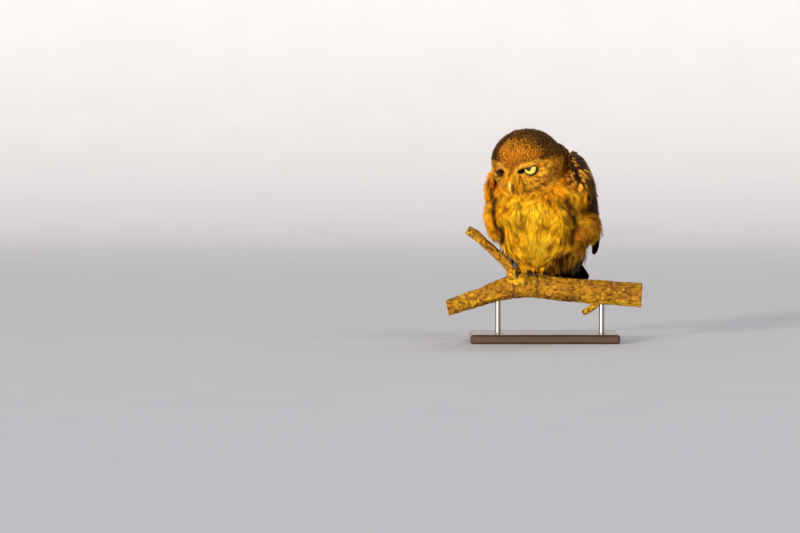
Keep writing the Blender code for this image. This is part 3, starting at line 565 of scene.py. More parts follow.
class Plumage:
    """Markings of the coat with painted light and shade, the same for the skin and for every
    feather over it.
    """

    crown = linear("#382208")
    crown_gold = linear("#e39a22")
    forehead = linear("#ba7218")
    cheek = linear("#f2a62a")
    cheek_dark = linear("#86520e")
    brow = linear("#fac03c")
    dark = linear("#150b03")
    breast_high = linear("#f29410")
    breast = linear("#f7a40c")
    # lighter yellow of the painted highlights on the breast and belly
    breast_highlight = linear("#ffca26")
    belly = linear("#ffb40c")
    flank = linear("#9a600e")
    # brown of the streaks, also painted shade in the folds and gaps
    streak_and_fold_shade = linear("#4a2504")
    thigh = linear("#a8701a")
    # darkest brown: painted shade in deep gaps and shaded places, over the dark wing tips and tail
    shade_and_dark_brown = linear("#241708")
    mantle = linear("#3c220b")
    mantle_spot = linear("#f0a83a")
    nape = linear("#4a2c0e")
    rump = linear("#7c5222")
    leg = linear("#dc9a1c")

    # world x and z, in millimetres, of the gaps between the masses of feathers, sunk in and
    # darkened as painted shade
    left_slit = np.array([(-54.3, 154.4), (-55.4, 134), (-52.1, 124.1), (-45.6, 118.7),
                          (-45.6, 107.9)])
    right_cleft = np.array([(22, 152), (29.5, 143), (32.5, 126), (28, 107)])
    strokes = (np.array([(-41.5, 132), (-36, 122), (-31.6, 115.5)]),
               np.array([(-31, 126.5), (-22, 121)]), np.array([(-5, 127), (3, 121)]),
               np.array([(13, 153), (17, 147)]))
    rolled_edge = np.array([(15, 150), (20.5, 143), (21, 122), (15, 108)])
    # painted highlights, lighter patches of the breast's yellow where the light falls: world x and
    # z, radius, strength
    painted_highlights = ((-17.6, 137, 24, 0.75), (-6, 98, 15, 1), (35, 158, 9, 0.5))
    swell = 1.7  # of all the lobes and hollows
    # soft lobes and hollows of the front: world x and z, radius, height in millimetres
    relief = ((-48, 131, 5.5, 1.8), (-31, 145, 7.5, 2), (-8.6, 139, 9.5, 2.4), (14, 130, 7, 2.6),
              (15.5, 142, 5, 1.6), (-35.6, 112, 7, 1.8), (-14, 114, 8, 1.4), (33, 156, 8, 2),
              (45, 116, 9, 2), (-61, 139, 6, 1.5), (6, 113, 6, 1.2), (50, 131, 6, 1.4),
              (-26, 123, 7, -1.6), (-3, 124, 7, -1.2), (27.5, 131, 6, -1.6), (37, 120, 7, -1.4),
              (-47, 112, 5, -1.6), (45, 141, 6, -1.2))

    def colour(self, points: Array) -> Array:
        """Linear colour of the coat at world places."""
        shape = points.shape
        points = points.reshape(-1, 3)
        share = head_share(points)
        mixed = blend(self.body_colour(points), self.head_colour(points), share)
        return mixed.reshape(shape)

    def body_colour(self, points: Array) -> Array:
        """Colours of the torso and legs.

        Args:
            points: World places.

        Returns:
            Linear colours, one for each place.
        """
        local = POSE.local(points, "body")
        world = points / MM
        x, y, z = local[..., 0], local[..., 1], local[..., 2]
        coarse = value_noise(local, 8.5, 3)
        middling = value_noise(local * np.array([1, 1, 0.55]), 4, 6)
        fine = value_noise(local * np.array([1, 1, 0.35]), 2, 5)
        cloud = 0.45 * coarse + 0.4 * middling + 0.3 * fine
        high = ramp(72, 96, z)
        across, up = world[..., 0], world[..., 2]
        # the lower flank on the bird's left, away from the light, goes browner: painted shade over
        # its own tone
        side = ramp(30, 48, x) * ramp(78, 62, z)
        front = layered(self.belly, (self.breast, ramp(22, 45, z)),
                        (self.breast_high, high * 0.85), (self.flank, side * 0.8))
        # painted highlights: lighter patches of the breast's yellow
        for place_x, place_z, radius, share in self.painted_highlights:
            near = bell(np.hypot(across - place_x, (up - place_z) * 0.8), radius)
            front = blend(front, self.breast_highlight, near * share)
        # the thigh on that side goes a darker brown, partly painted shade
        thigh = ramp(3, 14, across + 0.4 * (world[..., 1] + 12)) * ramp(105, 94, up)
        # lit: painted light, lighter yellow on the tops of the raised lobes
        lit = np.clip(self.lobes(world) / 3.4, 0, 1) * ramp(56, 30, np.abs(x))
        gaps = self.gap_share(world)
        # painted shade in random hollows, folds and gaps, and painted light on random lumps, over
        # the coat's mottling
        front = layered(
            front, (self.thigh, thigh * 0.9), (self.streak_and_fold_shade, np.clip(1.8 * cloud - 0.12, 0, 0.72)),
            (self.breast_highlight, np.clip(-1.5 * cloud - 0.1, 0, 0.7) * (1 - high * 0.3)),
            (self.breast_highlight, lit * 0.6), (self.streak_and_fold_shade, gaps * 0.9),
            (self.shade_and_dark_brown, ramp(0.7, 1, gaps) * 0.7))
        # painted shade: the flank's far edge, the low part by the tail and the raised wing's edge
        # go darkest brown
        tip = ramp(0, 4, across - 47.5 - 0.66 * (up - 96.4)) * ramp(120, 113, up)
        under = ramp(-3, 5, across - 23.5 - 1.34 * (up - 77.7)) * ramp(102, 95, up)
        spots = ramp(0.25, 0.55, value_noise(local, 4.2, 11))
        back = layered(self.rump, (self.mantle, ramp(45, 75, z)), (self.nape, ramp(100, 118, z)),
                       (self.mantle_spot, spots * 0.7))
        rear = ramp(-6, 14, y - 8 + 0.5 * np.maximum(0, z - 88))
        shoulder = ramp(30, 37, np.abs(x)) * ramp(90, 96, z) \
            * np.maximum(ramp(-5, 5, x), ramp(0, 12, y))
        dark = np.maximum(np.maximum(tip, under) * 0.95, self.strip(world) * (0.95 - 0.3 * fine))
        low = ramp(85, 79, up) * ramp(17, 9, across)
        return layered(front, (back, np.maximum(rear, shoulder)), (self.shade_and_dark_brown, dark),
                       (self.leg, low))

    def strip(self, world: Array) -> Array:
        """Share of the raised wing's edge that is painted in shade over its own dark brown, from 0
        to 1.
        """
        across, up = world[..., 0], world[..., 2]
        high = ramp(136, 142, up) * ramp(180, 174, up)
        return ramp(43, 46.5, across) * high * ramp(36, 26, world[..., 1])

    def gap_share(self, world: Array) -> Array:
        """Depth of the gaps on the front, from 0 to 1, where the coat is darkened as painted
        shade.

        Args:
            world: World places in millimetres.

        Returns:
            Share of each place.
        """
        flat = world[..., [0, 2]]
        rough = 1 + 0.5 * value_noise(world, 5, 62)
        broken = ramp(-0.8, -0.1, value_noise(world, 6.5, 63))
        slit = bell(line_distance(flat, self.left_slit)[0], 3.4 * rough)
        share = np.minimum(1, 1.3 * slit * (0.72 + 0.28 * broken))
        cleft = bell(line_distance(flat, self.right_cleft)[0], 6 * rough)
        share = np.maximum(share, cleft * (0.5 + 0.45 * broken))
        for stroke in self.strokes:
            off = line_distance(flat, stroke)[0]
            share = np.maximum(share, 0.66 * bell(off, 3.4 * rough))
        share = np.maximum(share, np.clip(-self.lobes(world) / 4, 0, 0.7))
        return share * ramp(5, -12, world[..., 1])

    def lobes(self, world: Array) -> Array:
        """Height of the soft lobes of the front, below zero in the hollows, in millimetres."""
        height = np.zeros(world.shape[:-1])
        for x, z, radius, rise in self.relief:
            off = np.hypot(world[..., 0] - x, world[..., 2] - z)
            height += bell(off, radius) * rise * self.swell
        roll = line_distance(world[..., [0, 2]], self.rolled_edge)[0]
        height += 2.6 * bell(roll, 3.2) + 1.3 * value_noise(world, 11, 61)
        return height * ramp(5, -12, world[..., 1]) * ramp(172, 160, world[..., 2])

    def head_colour(self, points: Array) -> Array:
        """Colours of the head.

        Args:
            points: World places.

        Returns:
            Linear colours, one for each place.
        """
        local = POSE.local(points, "head")
        x, y, z = np.abs(local[..., 0]), local[..., 1], local[..., 2]
        fine = value_noise(local, 1.7, 21)
        broad = value_noise(local, 8, 22)
        rear = np.maximum(ramp(-22, 3, y + 0.25 * z), ramp(18, 32, x + 0.2 * y))
        rear = rear * ramp(0, 12, z + 0.4 * y)
        # painted shade: the crown's dark brown reaches round the bird's right side, which goes
        # darker still
        rear = np.maximum(rear, ramp(8, 19, 0.3 * y - local[..., 0]) * ramp(0, 8, z + 0.2 * y))
        left = ramp(3, 15, 0.3 * y - local[..., 0]) * ramp(-4, 4, z + 0.2 * y)
        top = layered(self.forehead, (self.crown, np.clip(rear + 0.15 * broad, 0, 1)),
                      (self.crown, ramp(0, 0.5, fine) * 0.6), (self.dark, left * 0.85))
        streak = value_noise(np.stack([np.arctan2(z - 1, x - 8) * 14, y * 0.3, 0.45 *
                                       np.hypot(x - 8, z - 1)], axis=-1), 1.6, 23)
        face = layered(self.cheek, (self.brow, ramp(0, 0.5, -streak) * 0.8),
                       (self.cheek_dark, ramp(0.1, 0.5, streak) * 0.75))
        away = eye_distance(local)
        disc = ramp(27, 21, away) * ramp(6, -2, z - 0.25 * x)
        # painted shade: the face darker on the bird's right side
        face = face * (1 - 0.3 * ramp(-3, -12, local[..., 0]))[..., None]
        folded = folded_over(local)
        off, along = line_distance(folded, BROW_BAND)
        # far: the bird's right side, where brow, eye corner and eye hollow carry painted shade
        far = ramp(2, -6, local[..., 0])
        brow = np.minimum(1, 1.3 * bell(off, 2.4)) * (1 - 0.3 * along ** 2) * (1 - 0.55 * far)
        mixed = layered(
            top, (face, np.maximum(disc, ramp(-8, -16, z) * ramp(4, -8, y))), (self.brow, brow),
            (self.dark, bell(line_distance(folded, BROW_DOTS)[0], 2) * ramp(-0.7, 0, fine)))
        for knots, width in ((CHEEK_DOTS, 1.5), (DISC_EDGE, 1.7)):
            under = bell(line_distance(folded, knots)[0], width)
            mixed = blend(mixed, self.dark, under * ramp(-0.4, 0.2, fine) * 0.9)
        ring = bell(away - 8.4, 1.1) * ramp(9, 3, z)
        # painted shade: the far eye's dark corner moved and widened
        shift = far[..., None] * np.array([2.6, 1.6, -0.4])
        stretch = np.array([0.85, 0.7, 1.15]) - far[..., None] * np.array([0.27, 0.1, -0.3])
        corner = np.linalg.norm((folded - EYE_CORNER - shift) * stretch, axis=-1)
        lore = bell(np.linalg.norm(folded - LORE, axis=-1), 4.2) * ramp(0.4, -0.4, streak)
        collar = bell(z + 12 + 0.15 * y, 3.2) * ramp(22, 34, y)
        # painted shade: the far eye's hollow darkened
        return layered(
            mixed, (self.dark, ring * 0.8), (self.dark * 0.4, ramp(4.3, 3, corner)),
            (self.dark, ramp(9.6, 8.4, away + 0.5 * z) * far * 0.85), (self.brow, lore * 0.7),
            (self.mantle_spot, collar * 0.6))


PLUMAGE = Plumage()


# ---- lie of the plumage ----

def vectors(x: Array, y: Array, z: Array) -> Array:
    """Put three parts, each a number or an array, together to rows of vectors."""
    return np.stack(np.broadcast_arrays(x, y, z), axis=-1)


def along_skin(way: Array, normals: Array) -> Array:
    """Turn directions into the surface with these normals."""
    return unit(way - normals * np.sum(way * normals, axis=-1, keepdims=True))


def lie_of_coat(points: Array, normals: Array) -> Array:
    """Direction in which feathers lie at world places, along the surface.

    Args:
        points: World places.
        normals: The surface's directions there.

    Returns:
        Unit directions along the surface.
    """
    head = POSE.local(points, "head")
    body = POSE.local(points, "body")
    from_bill = unit(head - BILL_ROOT)
    folded = folded_over(head)
    from_eye = unit(folded - EYE_CENTRE - np.array([-1.5, 2, 0.5]))
    from_eye[..., 0] *= np.sign(head[..., 0])
    near = ramp(21, 12, eye_distance(head))
    head_way = blend(from_bill, from_eye, near * 0.8)
    off, _ = line_distance(folded, BROW_BAND)
    out = vectors(np.sign(head[..., 0]) * 0.85, 0.4, 0.25)
    head_way = POSE.turn(unit(blend(head_way, out, bell(off, 3.5) * 0.8)), "head")
    x, y, z = np.moveaxis(body, -1, 0)
    side, wide = np.sign(x), np.abs(x)
    down = unit(vectors(0.2 * side * ramp(20, 50, wide), 0.35, -0.95))
    front = ramp(6, -14, y) * ramp(48, 26, np.abs(x + 3))
    flank = ramp(28, 42, wide) * ramp(84, 64, z)
    way = layered(down, (unit(FEET_MIDDLE - body), front * ramp(80, 50, z)),
                  (unit(body - THROAT), front * ramp(74, 100, z) * 0.7),
                  (unit(vectors(0.75 * side, 0.5, -0.6)), flank * 0.7))
    way = blend(POSE.turn(unit(way), "body"), head_way, head_share(points))
    return along_skin(way, normals)


def lie_of_shoulder(points: Array, normals: Array) -> Array:
    """Direction of the feathers on the ridge of a shoulder: backwards, along the ridge."""
    way = np.broadcast_to(unit(np.array([0.1, 1, -0.3])), points.shape)
    return along_skin(POSE.turn(way, "body"), normals)


def lie_of_whiskers(points: Array, normals: Array) -> Array:
    """Direction of the bristles that spring from the bill's base, forwards and down."""
    head = POSE.local(points, "head")
    side = np.sign(head[..., 0]) * np.minimum(1, np.abs(head[..., 0]) / 4)
    low = ramp(-2, -9, head[..., 2])
    way = vectors(0.3 * side, -0.7 + 0.3 * low, -0.6 - 0.3 * low)
    return unit(POSE.turn(unit(way), "head") + 0.2 * normals)


def lie_of_skirt(points: Array, normals: Array) -> Array:
    """Direction of the loose feathers that hang from the belly round the legs."""
    inward = 0.5 * ramp(24, 46, points[..., :1] / MM) * np.array([1, 0, 0])
    down = np.array([0, 0.2, -1]) - inward
    return unit(down + 0.3 * normals * np.array([1, 1, 0]))


def lie_of_tuck(points: Array, normals: Array) -> Array:
    """Direction of the feathers under the wing's edge, down and in towards the tail."""
    return unit(vectors(-0.25 * np.sign(POSE.local(points, "body")[..., 0]), 0.3, -1))


# ---- meshes ----

def read_rows(source: bpy.types.bpy_prop_collection, what: str, width: int,
              kind: type = float) -> Array:
    """Read one property of all items of a mesh's collection.

    Args:
        source: The collection.
        what: Name of the property.
        width: Numbers in each item's value.
        kind: Type of the numbers.

    Returns:
        A row for each item.
    """
    values = np.empty(len(source) * width, dtype=kind)
    source.foreach_get(what, values)
    return values.reshape(-1, width)


def read_points(mesh: Mesh, what: str) -> Array:
    """Vertex places or normals as rows."""
    return read_rows(mesh.vertices, what, 3)


def freed(bm: bmesh.types.BMesh, name: str) -> Mesh:
    """Turn an edit mesh into a mesh and free it."""
    mesh = bpy.data.meshes.new(name)
    bm.to_mesh(mesh)
    bm.free()
    return mesh


def unit_ball(name: str, around: int, down: int) -> Mesh:
    """A ball of radius 1 with so many steps around and down."""
    bm = bmesh.new()
    bmesh.ops.create_uvsphere(bm, u_segments=around, v_segments=down, radius=1)
    return freed(bm, name)


class Surface:
    """A triangle mesh that feathers are rooted on."""

    def __init__(self, mesh: Mesh) -> None:
        """Read the mesh and sort it for nearest-place questions."""
        mesh.calc_loop_triangles()
        self.points = read_points(mesh, "co")
        self.faces = read_rows(mesh.loop_triangles, "vertices", 3, np.int32)
        self.face_normals = unit(read_points(mesh, "normal")[self.faces].sum(axis=1))
        corners = self.points[self.faces]
        cross = np.cross(corners[:, 1] - corners[:, 0], corners[:, 2] - corners[:, 0])
        self.areas = np.linalg.norm(cross, axis=1) / 2
        self.tree = BVHTree.FromPolygons(self.points.tolist(), self.faces.tolist())

    def centres(self) -> Array:
        """Middle of each face."""
        return self.points[self.faces].mean(axis=1)

    def nearest(self, points: Array) -> tuple[Array, Array]:
        """Nearest places on the surface and their smooth normals."""
        hits = [self.tree.find_nearest(point) for point in points.tolist()]
        places = np.array([tuple(hit[0]) for hit in hits])
        return places, self.face_normals[[hit[2] for hit in hits]]

    def scatter(self, spacing: Array, rng: np.random.Generator) -> tuple:
        """Spread roots evenly over the faces.

        Args:
            spacing: Least distance between roots for each face, in metres; 0 for none.
            rng: The seeded source of random numbers.

        Returns:
            Places and normals of the roots.
        """
        weight = np.where(spacing > 0, self.areas / np.maximum(spacing, 1e-6) ** 2, 0)
        count = int(weight.sum() * 3.2)
        picks = rng.choice(len(self.faces), size=count, p=weight / weight.sum())
        first, second = rng.random(count), rng.random(count)
        over = first + second > 1
        first, second = np.where(over, 1 - first, first), np.where(over, 1 - second, second)
        a, b, c = (self.points[self.faces[picks, k]] for k in range(3))
        places = a + (b - a) * first[:, None] + (c - a) * second[:, None]
        kept = thin_out(places, spacing[picks])
        return places[kept], self.face_normals[picks[kept]]


def thin_out(places: Array, spacing: Array) -> list[int]:
    """Keep places in their order as long as they stay clear of those kept before.

    Args:
        places: Places in the order of their rank.
        spacing: Least distance to those kept before, one for each place.

    Returns:
        Numbers of the places that stay.
    """
    cell = float(spacing.max())
    keys = np.floor(places / cell).astype(int).tolist()
    rows = places.tolist()
    grid: dict = {}
    kept = []
    around = list(product((-1, 0, 1), repeat=3))
    for number, (key, row, least) in enumerate(zip(keys, rows, (spacing ** 2).tolist())):
        near = (other for i, j, k in around
                for other in grid.get((key[0] + i, key[1] + j, key[2] + k), ()))
        if all(sum((row[n] - other[n]) ** 2 for n in range(3)) >= least for other in near):
            grid.setdefault(tuple(key), []).append(row)
            kept.append(number)
    return kept


def new_object(name: str, data: bpy.types.ID) -> Object:
    """Link a mesh, a lamp or a camera to the scene as an object."""
    item = bpy.data.objects.new(name, data)
    bpy.context.scene.collection.objects.link(item)
    return item


def modified(item: Object) -> Object:
    """Replace the object's mesh with its evaluated one."""
    bpy.context.view_layer.update()
    graph = bpy.context.evaluated_depsgraph_get()
    mesh = bpy.data.meshes.new_from_object(item.evaluated_get(graph))
    item.modifiers.clear()
    item.data = mesh
    return item


def melted(item: Object, voxel_mm: float, smoothing: int) -> Object:
    """Remesh overlapping forms into one surface and smooth it.

    Args:
        item: Object whose forms overlap.
        voxel_mm: Size of the remesh's grid.
        smoothing: How often the surface is smoothed.

    Returns:
        The same object with its new mesh.
    """
    remesh = item.modifiers.new("melt", "REMESH")
    remesh.mode = "VOXEL"
    remesh.voxel_size = voxel_mm * MM
    remesh.use_smooth_shade = True
    smooth = item.modifiers.new("smooth", "SMOOTH")
    smooth.iterations = smoothing
    smooth.factor = 0.5
    return modified(item)


def copy_nodes(name: str, nodes: Iterable[str]) -> Object:
    """Join copies of the frame's solids in a new object.

    Args:
        name: Name of the new object.
        nodes: Names of the solids.

    Returns:
        The new object, without materials.
    """
    bm = bmesh.new()
    for node in nodes:
        bm.from_mesh(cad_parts[node].data)
    bmesh.ops.remove_doubles(bm, verts=bm.verts, dist=WELD * MM)
    mesh = freed(bm, name)
    mesh.materials.clear()
    return new_object(name, mesh)


def write_points(mesh: Mesh, points: Array) -> None:
    """Set all vertex places."""
    mesh.vertices.foreach_set("co", points.ravel())
    mesh.update()


def paint(mesh: Mesh, name: str, colours: Array) -> None:
    """Write a colour attribute with three or four values for each vertex."""
    rows = np.ones((len(colours), 4))
    rows[:, :colours.shape[1]] = colours
    layer = mesh.attributes.new(name, "FLOAT_COLOR", "POINT")
    layer.data.foreach_set("color", rows.ravel())


def place_piece(item: Object, finish: Finish, nodes: Iterable[str] = ()) -> None:
    """Dress a piece, tie it to the body and hide the solids that it stands for.

    Args:
        item: The piece.
        finish: Its finish.
        nodes: Solids that it stands for.
    """
    if item.data.materials:
        item.data.materials[0] = finish.material
    else:
        item.data.materials.append(finish.material)
    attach(item, BODY)
    if nodes:
        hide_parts(*nodes)
    log.info("%s: %d faces", item.name, len(item.data.polygons))


@dataclass
class Blades:
    """Many thin closed blades in one mesh, each a row of rings along its spine."""

    rings: Array  # places, as (blades, rows, ring, 3)
    vane: Array  # place across and along, each from 0 to 1, as (rows, ring, 2)
    ups: Array  # outward directions of the body, as (blades, rows, 3)
    patch: float = 0.003  # size of one blade's place in the bake map
    softness: float = 0.55  # share of the body's own outward direction in shading

    def faces(self) -> tuple[Array, Array]:
        """Corner numbers of the sides and of the end caps."""
        count, rows, ring = self.rings.shape[:3]
        index = np.arange(count * rows * ring).reshape(count, rows, ring)
        turned = np.roll(index, -1, axis=2)
        sides = np.stack([index[:, :-1], turned[:, :-1], turned[:, 1:], index[:, 1:]], axis=-1)
        caps = np.concatenate([index[:, 0, ::-1], index[:, -1]], axis=0)
        return sides.reshape(-1, 4), caps

    def build(self, name: str, bake: Array) -> Object:
        """Make the object.

        Args:
            name: Name of the piece.
            bake: Place of each blade in the bake map, as (blades, 2).

        Returns:
            The new object, still without colours.
        """
        sides, caps = self.faces()
        mesh = bpy.data.meshes.new(name)
        mesh.vertices.add(self.rings.size // 3)
        mesh.vertices.foreach_set("co", self.rings.ravel())
        corners = np.concatenate([sides.ravel(), caps.ravel()])
        mesh.loops.add(len(corners))
        mesh.loops.foreach_set("vertex_index", corners.astype(np.int32))
        starts = np.concatenate([np.arange(len(sides)) * 4,
                                 len(sides) * 4 + np.arange(len(caps)) * caps.shape[1]])
        mesh.polygons.add(len(starts))
        mesh.polygons.foreach_set("loop_start", starts.astype(np.int32))
        mesh.update(calc_edges=True)
        mesh.shade_smooth()
        self.map_uv(mesh, corners, bake)
        own = read_points(mesh, "normal")
        soft = np.broadcast_to(self.ups[:, :, None, :], self.rings.shape).reshape(-1, 3)
        mixed = unit(blend(own, soft, np.full(len(own), self.softness)))
        mesh.normals_split_custom_set_from_vertices(mixed)
        return new_object(name, mesh)

    def map_uv(self, mesh: Mesh, corners: Array, bake: Array) -> None:
        """Write the map along each vane and the map for baking."""
        count = len(self.rings)
        vane = np.broadcast_to(self.vane, (count, *self.vane.shape))
        baked = bake[:, None, None, :] + (vane - 0.5) * self.patch
        for title, values in (("OFBake", baked), ("Vane", vane)):
            layer = mesh.uv_layers.new(name=title)
            layer.data.foreach_set("uv", values.reshape(-1, 2)[corners].ravel())


def ring_places(columns: int, under: bool) -> tuple[Array, Array]:
    """Places round a blade's section.

    Args:
        columns: Points across the upper side.
        under: Whether the lower side has points of its own.

    Returns:
        Place across from -1 to 1, and +1 for the upper or -1 for the lower side, 0 at edges.
    """
    across = np.linspace(-1, 1, columns)
    level = np.where(np.abs(across) > 0.99, 0, 1)
    if under:
        across = np.concatenate([across, across[-2:0:-1]])
        level = np.concatenate([level, -np.ones(columns - 2)])
    return across, level


def ribbon(spine: Array, ups: Array, half: Array, thick: float, camber: float, columns: int,
           under: bool) -> Blades:
    """Lay closed ribbons along spines.

    Args:
        spine: Middle lines, as (blades, rows, 3).
        ups: Outward directions, as the spines.
        half: Half widths, as (blades, rows).
        thick: Thickness, in metres.
        camber: Drop of the edges, as a share of the half width.
        columns: Points across the upper side.
        under: Whether the lower side has points of its own.

    Returns:
        The blades.
    """
    ahead = unit(np.gradient(spine, axis=1))
    side = unit(np.cross(ahead, ups))
    up = np.cross(side, ahead)
    across, level = ring_places(columns, under)
    wide = half[..., None] * across
    tall = level * thick / 2 - camber * half[..., None] * across ** 2
    rings = spine[:, :, None, :] + side[:, :, None, :] * wide[..., None] \
        + up[:, :, None, :] * tall[..., None]
    along = np.linspace(0, 1, spine.shape[1])
    vane = np.stack(np.broadcast_arrays(across[None, :] / 2 + 0.5, along[:, None]), axis=-1)
    return Blades(rings, vane, ups)


class SkinMap:
    """An unwrap of the skin's own shape, read at the roots of the tufts."""

    def __init__(self, skin: Object) -> None:
        """Unwrap the skin and keep its triangles' places in the map.

        Args:
            skin: The skin as an object.
        """
        for item in bpy.context.selected_objects:
            item.select_set(False)
        skin.select_set(True)
        bpy.context.view_layer.objects.active = skin
        skin.data.uv_layers.new(name="OFBake")
        bpy.ops.object.mode_set(mode="EDIT")
        bpy.ops.mesh.select_all(action="SELECT")
        bpy.ops.uv.smart_project(angle_limit=math.radians(66), island_margin=0.003)
        bpy.ops.object.mode_set(mode="OBJECT")
        mesh = skin.data
        mesh.calc_loop_triangles()
        flat = read_rows(mesh.uv_layers["OFBake"].data, "uv", 2)
        self.places = flat[read_rows(mesh.loop_triangles, "loops", 3, np.int32)]
        points = read_points(mesh, "co")
        corners = read_rows(mesh.loop_triangles, "vertices", 3, np.int32)
        self.corners = points[corners]
        self.tree = BVHTree.FromPolygons(points.tolist(), corners.tolist())

    def at(self, points: Array) -> Array:
        """Places in the map of world places on the skin.

        Args:
            points: World places.

        Returns:
            Places in the map, as (count, 2).
        """
        rows = [self.tree.find_nearest(point)[2] for point in points.tolist()]
        a, b, c = (self.corners[rows, k] for k in range(3))
        area = np.linalg.norm(np.cross(b - a, c - a), axis=1) + 1e-15
        first = np.linalg.norm(np.cross(b - points, c - points), axis=1) / area
        second = np.linalg.norm(np.cross(c - points, a - points), axis=1) / area
        share = np.stack([first, second, 1 - first - second], axis=1).clip(0, 1)
        share = share / share.sum(axis=1, keepdims=True)
        return np.sum(self.places[rows] * share[..., None], axis=1)


# ---- feathers ----

class Form(Enum):
    """How one tuft of the coat is made."""

    PLUME = "barbs on both sides of a shaft"
    BRISTLE = "a small fan from one root"


class Mark(Enum):
    """What each feather carries of its own."""

    NONE = "plain"
    STREAK = "a dark streak along the shaft"
    SPOT = "a pale spot near the tip, edged dark"


@dataclass(frozen=True)
class Tuft:
    """Sizes of one kind of body feather, in millimetres."""

    form: Form
    length: float
    width: float
    spacing: float
    lift: float  # height of the tip over the skin
    rows: int = 3
    barbs: int = 9
    barb_width: float = 0.8
    wander: float = 0.12  # random turn of each tuft, in radians
    clump: float = 0.2  # turn that neighbours share
    hug: float = 0.9  # how closely the tip keeps to the skin
    curl: float = 0  # how far the tip turns up
    sink: float = 0.6
    low: float = 1  # share of the length at the belly's lowest feathers
    root_shade: float = 0.5  # darker near the root: painted shade deep in the coat, and the darker down
    contrast: float = 0.16
    mark: Mark = Mark.NONE
    strength: float = 0.5  # of the mark
    spot: str = "mantle_spot"        # the plumage colour of a pale spot
    spot_size: float = 1
    dim: float = 1  # share of the spot that stays where the coat is dark, in its own colour and in painted shade


